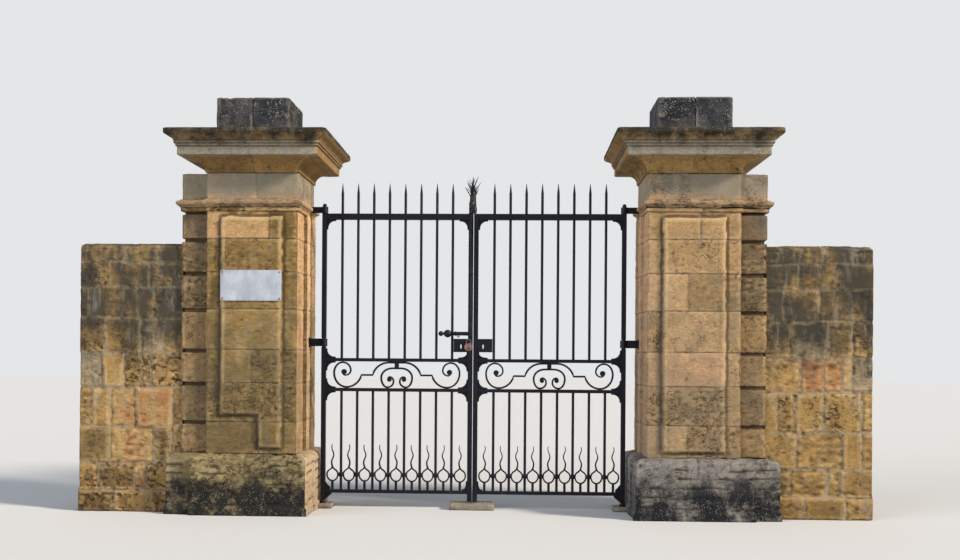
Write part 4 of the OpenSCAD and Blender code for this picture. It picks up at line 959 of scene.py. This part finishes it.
case_z = 1.470
case_half = 0.0195
key_z = 1.4605
rim_sizes = (oval(0.123, 0.114, 16), oval(0.106, 0.097, 14))
guard_sizes = (oval(0.034, 0.056, 2.4), oval(0.0136, 0.0376, 3.2))
for side, case_x, key_x in (("left", 1.7905, 1.792), ("right", 2.0095, 1.991)):
    stacks, screw_heads = [], []
    for ahead in (-1.0, 1.0):
        face_y = gate_y + ahead * case_half
        stacks.append(framed(*rim_sizes, (case_x, face_y, case_z),
                             [(0.0, 0.0), (0.0006, 0.0022), (0.0020, 0.0030)], ahead))
        stacks.append(framed(*guard_sizes, (key_x, face_y, key_z),
                             [(0.0, 0.0), (0.0008, 0.0026), (0.0026, 0.0034)], ahead))
        screw_heads += [turned((case_x + dx, face_y, case_z + dz), (0, ahead, 0), 0.0055,
                               slotted, 10)
                        for dx in (-0.0445, 0.0445) for dz in (-0.040, 0.040)]
    metal_mesh(f"{side}_lock_rims", f"{side}_leaf", stacks, oil_black,
               looped=True)
    metal_mesh(f"{side}_lock_screws", f"{side}_leaf", screw_heads, bare_worn)

# The lever of the bolt rod. The forged bar is deeper towards the rod, has a collar near its
# middle, and carries a small scroll drop. The turned balls have a neck ring.

lever_z = 1.576
rod_at = (1.880, 0.040)


def drawn_out(path, wide, deep, power=4.0, count=16):
    """Rings of a forged bar along a path in the gate's plane: an oval section, wide across the
    path and deep from front to back, at right angles to it at each point."""
    path = np.array(path, float)
    ahead = np.gradient(path, axis=0)
    ahead /= np.linalg.norm(ahead, axis=1)[:, None]
    across = np.stack([ahead[:, 2], np.zeros(len(path)), -ahead[:, 0]], axis=1)
    section = oval(1.0, 1.0, power, count)
    wide, deep = np.broadcast_to(wide, len(path)), np.broadcast_to(deep, len(path))
    rings = path[:, None] + across[:, None] * (section[:, 0] * wide[:, None])[..., None]
    rings[..., 1] += section[:, 1] * deep[:, None]
    return rings


lever_long, lever_deep, lever_wide = 0.160, 0.0355, 0.0165
rod_reach = 0.016
drop_x, drop_hang = 1.766, 0.0125
collars = ((1.738, 0.021, 0.016), (1.712, 0.0195, 0.007), (1.632, 0.0110, 0.008))
share = np.linspace(0, 1, 14)
level_y = np.full_like(share, rod_at[1])
bar = np.stack([rod_at[0] - rod_reach - share * lever_long, level_y,
                np.full_like(share, lever_z)], axis=1)
wave = share * 2 * np.pi * 1.15
curl = 0.0125 - 0.008 * share
drop = np.stack([drop_x + curl * np.sin(wave), level_y,
                 lever_z - drop_hang - curl * (1 - np.cos(wave))], axis=1)
lever = [drawn_out(bar, lever_deep - 0.004 * share, lever_wide),
         drawn_out(drop, 0.0090 - 0.004 * share, 0.011, 2.6, 12)]
for x, radius, length in collars:
    ringed = [(r, h * length / radius) for r, h in ((0.80, 0.0), (1.0, 0.25), (1.0, 0.75),
                                                    (0.80, 1.0))]
    lever.append(turned((x, rod_at[1], lever_z), (1, 0, 0), radius, ringed, 28))
metal_mesh("lever_dressing", "bolt", lever, oil_black)

# The round padlock. Its pressed case has a rolled rim and a drop cover over the keyhole that
# hangs from a pin. It has rusted to a pinkish brown, and its bow has worn to dark grey.

padlock_at = np.array([1.861, 0.033, 1.456])
bow_foot, bow_free = 1.489, 1.499
rusty, tree, shader, node = new_surface("rusted padlock steel", 0.85, 0.25)
place = node("TexCoord", out="Object")
tone = node("MapRange", node("TexNoise", place, 48, 7, 0.68), 0.36, 0.62)
colour = node("Mix", tone, "#4C3330", "#92706B", **mix)
pitted = node("MapRange", node("TexNoise", place, 190, 6, 0.7), 0.52, 0.66, 0.0, 0.75)
colour = node("Mix", pitted, colour, "#3A221B", **mix)
scaled = node("MapRange", node("TexNoise", place, 70, 4, 0.6), 0.60, 0.70, 0.0, 0.6)
colour = node("Mix", scaled, colour, "#A98E8A", **mix)
bow = node("MapRange", node("SeparateXYZ", place, out="Z"), bow_foot, bow_free, 0.0, 0.75)
colour = node("Mix", bow, colour, "#454047", **mix)
bump = node("Bump", named={"Height": node("TexNoise", place, 320, 5, 0.7), "Strength": 0.8,
                           "Distance": 0.0010})
tree.links.new(colour, shader.inputs["Base Color"])
tree.links.new(bump, shader.inputs["Normal"])
cover = oval(0.017, 0.034, 2.2, 28)
cover[:, 0] *= 1.0 - 0.35 * cover[:, 1] / 0.017
parts = [turned(padlock_at + [0, 0.0006, 0], (0, -1, 0), 0.0355,
                [(0.98, -0.02), (1.0, 0.04), (0.97, 0.10), (0.90, 0.11), (0.86, 0.06),
                 (0.60, 0.052), (0.20, 0.06)], 48),
         raised(cover, padlock_at + [0, -0.0012, -0.006], [(0.0, 0.0), (0.0004, 0.0022),
                                                          (0.0018, 0.0032)]),
         turned(padlock_at + [0, -0.0030, 0.006], (0, -1, 0), 0.0042, dome, 14)]
metal_mesh("padlock_face", "left_leaf", parts, rusty)
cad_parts["padlock"].data.materials.clear()
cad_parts["padlock"].data.materials.append(rusty)

# The thistle on the left meeting stile. Its trunk was forged from a bar and chiselled into lumps
# and folds, and thin spikes of all lengths were drawn out of it. Its paint is almost gone.

trunk_at = np.array([1.891, gate_y, 2.655])
boss_high, trunk_tall = 0.007, 0.245
draw = np.random.default_rng(29)
climb = np.linspace(0, 1, 46)
angle = np.arange(40) * 2 * np.pi / 40
girth = np.interp(climb, [0, 0.08, 0.3, 0.62, 0.74, 0.88, 1],
                  [0.034, 0.034, 0.029, 0.023, 0.018, 0.009, 0.003])
fold = 0.11 * np.sin(4 * angle + 4 * climb[:, None]) + 0.09 * np.sin(9 * angle - 6 * climb[:, None])
lump = 0.10 * noise(np.stack([*np.broadcast_arrays(np.cos(angle), np.sin(angle),
                                                   9 * climb[:, None])], axis=-1), 0.8, 5)
around = girth[:, None] * (1 + (fold + lump) * eased(climb, 0.15)[:, None])
trunk = np.stack([trunk_at[0] + around * np.cos(angle), trunk_at[1] + around * np.sin(angle),
                  np.broadcast_to(trunk_at[2] + boss_high + trunk_tall * climb[:, None],
                                  around.shape)], axis=-1)


def spike(foot, turned_by, lean, length, thick):
    """Rings of a drawn-out spike: it starts upright at its foot and bends out to the lean, and
    its round section thins from thick to a sixth of that."""
    t = np.linspace(0, 1, 12)
    tilt = lean * np.minimum(1, 1.6 * t)
    step = length / (len(t) - 1)
    out = np.concatenate([[0], np.cumsum(np.sin(tilt[:-1]) * step)])
    up = np.concatenate([[0], np.cumsum(np.cos(tilt[:-1]) * step)])
    flank = np.array([np.cos(turned_by), np.sin(turned_by), 0.0])
    middle = foot + out[:, None] * flank + up[:, None] * np.array([0.0, 0.0, 1.0])
    side = np.array([-flank[1], flank[0], 0.0])
    facing = np.cos(tilt)[:, None] * flank - np.sin(tilt)[:, None] * np.array([0.0, 0.0, 1.0])
    turns = np.arange(8) * 2 * np.pi / 8
    radius = thick / 2 * (1 - t * 5 / 6)
    return middle[:, None] + radius[:, None, None] * (np.cos(turns)[:, None] * facing[:, None]
                                                      + np.sin(turns)[:, None] * side)


spikes = []
spike_feet = np.tile([0.100, 0.130, 0.155, 0.180, 0.205], 4)
each = len(spike_feet)
for i, (height, lean, length, thick) in enumerate(zip(
        spike_feet, draw.uniform(0.45, 1.05, each), draw.uniform(0.065, 0.130, each),
        draw.uniform(0.006, 0.010, each))):
    turned_by = i * 2.4 + draw.uniform(-0.3, 0.3)
    flank = np.array([np.cos(turned_by), np.sin(turned_by), 0.0])
    foot = trunk_at + 0.014 * flank + np.array([0.0, 0.0, height])
    spikes.append(spike(foot, turned_by, lean, length, thick))
for turned_by, lean, length in ((3.0, 0.42, 0.125), (0.35, 0.22, 0.130), (5.2, 0.10, 0.120)):
    spikes.append(spike(trunk_at + np.array([0.0, 0.0, 0.200]), turned_by, lean, length, 0.013))
forged_bare = painted_iron("forged iron with its paint worn off", "#060608", "#141214", 0.64)
metal_mesh("thistle_trunk", "left_leaf", [trunk, *spikes], forged_bare)
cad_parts["thistle_finial"].data.materials[0] = forged_bare

# The strap bolts. Four iron bolts with domed heads hold each middle strap's flange to the jamb.
# Their paint has been rubbed off.

flange_z = 1.490
for side, x, way in (("left", 0.430, 1), ("right", 3.370, -1)):
    heads = [turned((x, gate_y + dy, flange_z + dz), (way, 0, 0), 0.0095, dome, 14)
             for dy in (-0.031, 0.031) for dz in (-0.026, 0.026)]
    metal_mesh(f"{side}_flange_bolts", "piers", heads, bare_worn)

# The stage: a pale floor, a low warm key light far off on the right, as an afternoon sun, a
# cool fill from the left, and a pale even backdrop.

bpy.ops.mesh.primitive_plane_add(size=80, location=(opening_mid, 0, 0))
floor = bpy.context.object
floor.name = "floor"
pale, tree, shader, node = new_surface("pale floor", 0.9)
shader.inputs["Base Color"].default_value = linear("#C9CACB")
floor.data.materials.append(pale)

world = bpy.data.worlds.new("studio")
bpy.context.scene.world = world
world.use_nodes = True
sky = world.node_tree
back = sky.nodes["Background"]
back.inputs[0].default_value = linear("#DFE6F0")
back.inputs[1].default_value = 0.48
seen = add(sky, "Background", "#E4E6E8", 1.0)
looking = add(sky, "LightPath", out="Is Camera Ray")
for ray in ("Is Glossy Ray", "Is Transmission Ray"):
    looking = add(sky, "Math", looking, add(sky, "LightPath", out=ray), operation="MAXIMUM")
both = add(sky, "MixShader", looking, back.outputs[0], seen)
sky.links.new(both, sky.nodes["World Output"].inputs[0])

for name, kind, size, place, aim, power, tone in (
        ("key", "SUN", np.radians(9), (21.0, -7.2, 12.0), (1.5, 0, 1.4), 5.6, "#FFF3E2"),
        ("fill", "SUN", np.radians(50), (-8.0, -6.5, 4.5), (2.2, 0, 1.5), 2.25, "#F0F4FF")):
    light = bpy.data.lights.new(name, kind)
    light.angle = size
    light.energy = power
    light.color = linear(tone)[:3]
    lamp = bpy.data.objects.new(name, light)
    lamp.location = place
    way = np.array(aim) - np.array(place)
    lamp.rotation_euler = (np.arctan2(np.hypot(way[0], way[1]), -way[2]), 0,
                           np.arctan2(way[1], way[0]) - np.pi / 2)
    bpy.context.scene.collection.objects.link(lamp)

# The camera. It stands in front, a little right of the middle and at eye height, and its lens
# is shifted up so that the piers stay upright.

camera_data = bpy.data.cameras.new("camera")
camera_data.sensor_width = 36
camera_data.lens = 37.5
camera_data.shift_y = 0.073
camera = bpy.data.objects.new("camera", camera_data)
camera.location = (opening_mid + 0.37, gate_y - 9.0, 1.43)
camera.rotation_euler = (np.pi / 2, np.radians(-0.40), np.radians(1.95))
bpy.context.scene.collection.objects.link(camera)
bpy.context.scene.camera = camera
bpy.context.scene.view_settings.view_transform = "Standard"
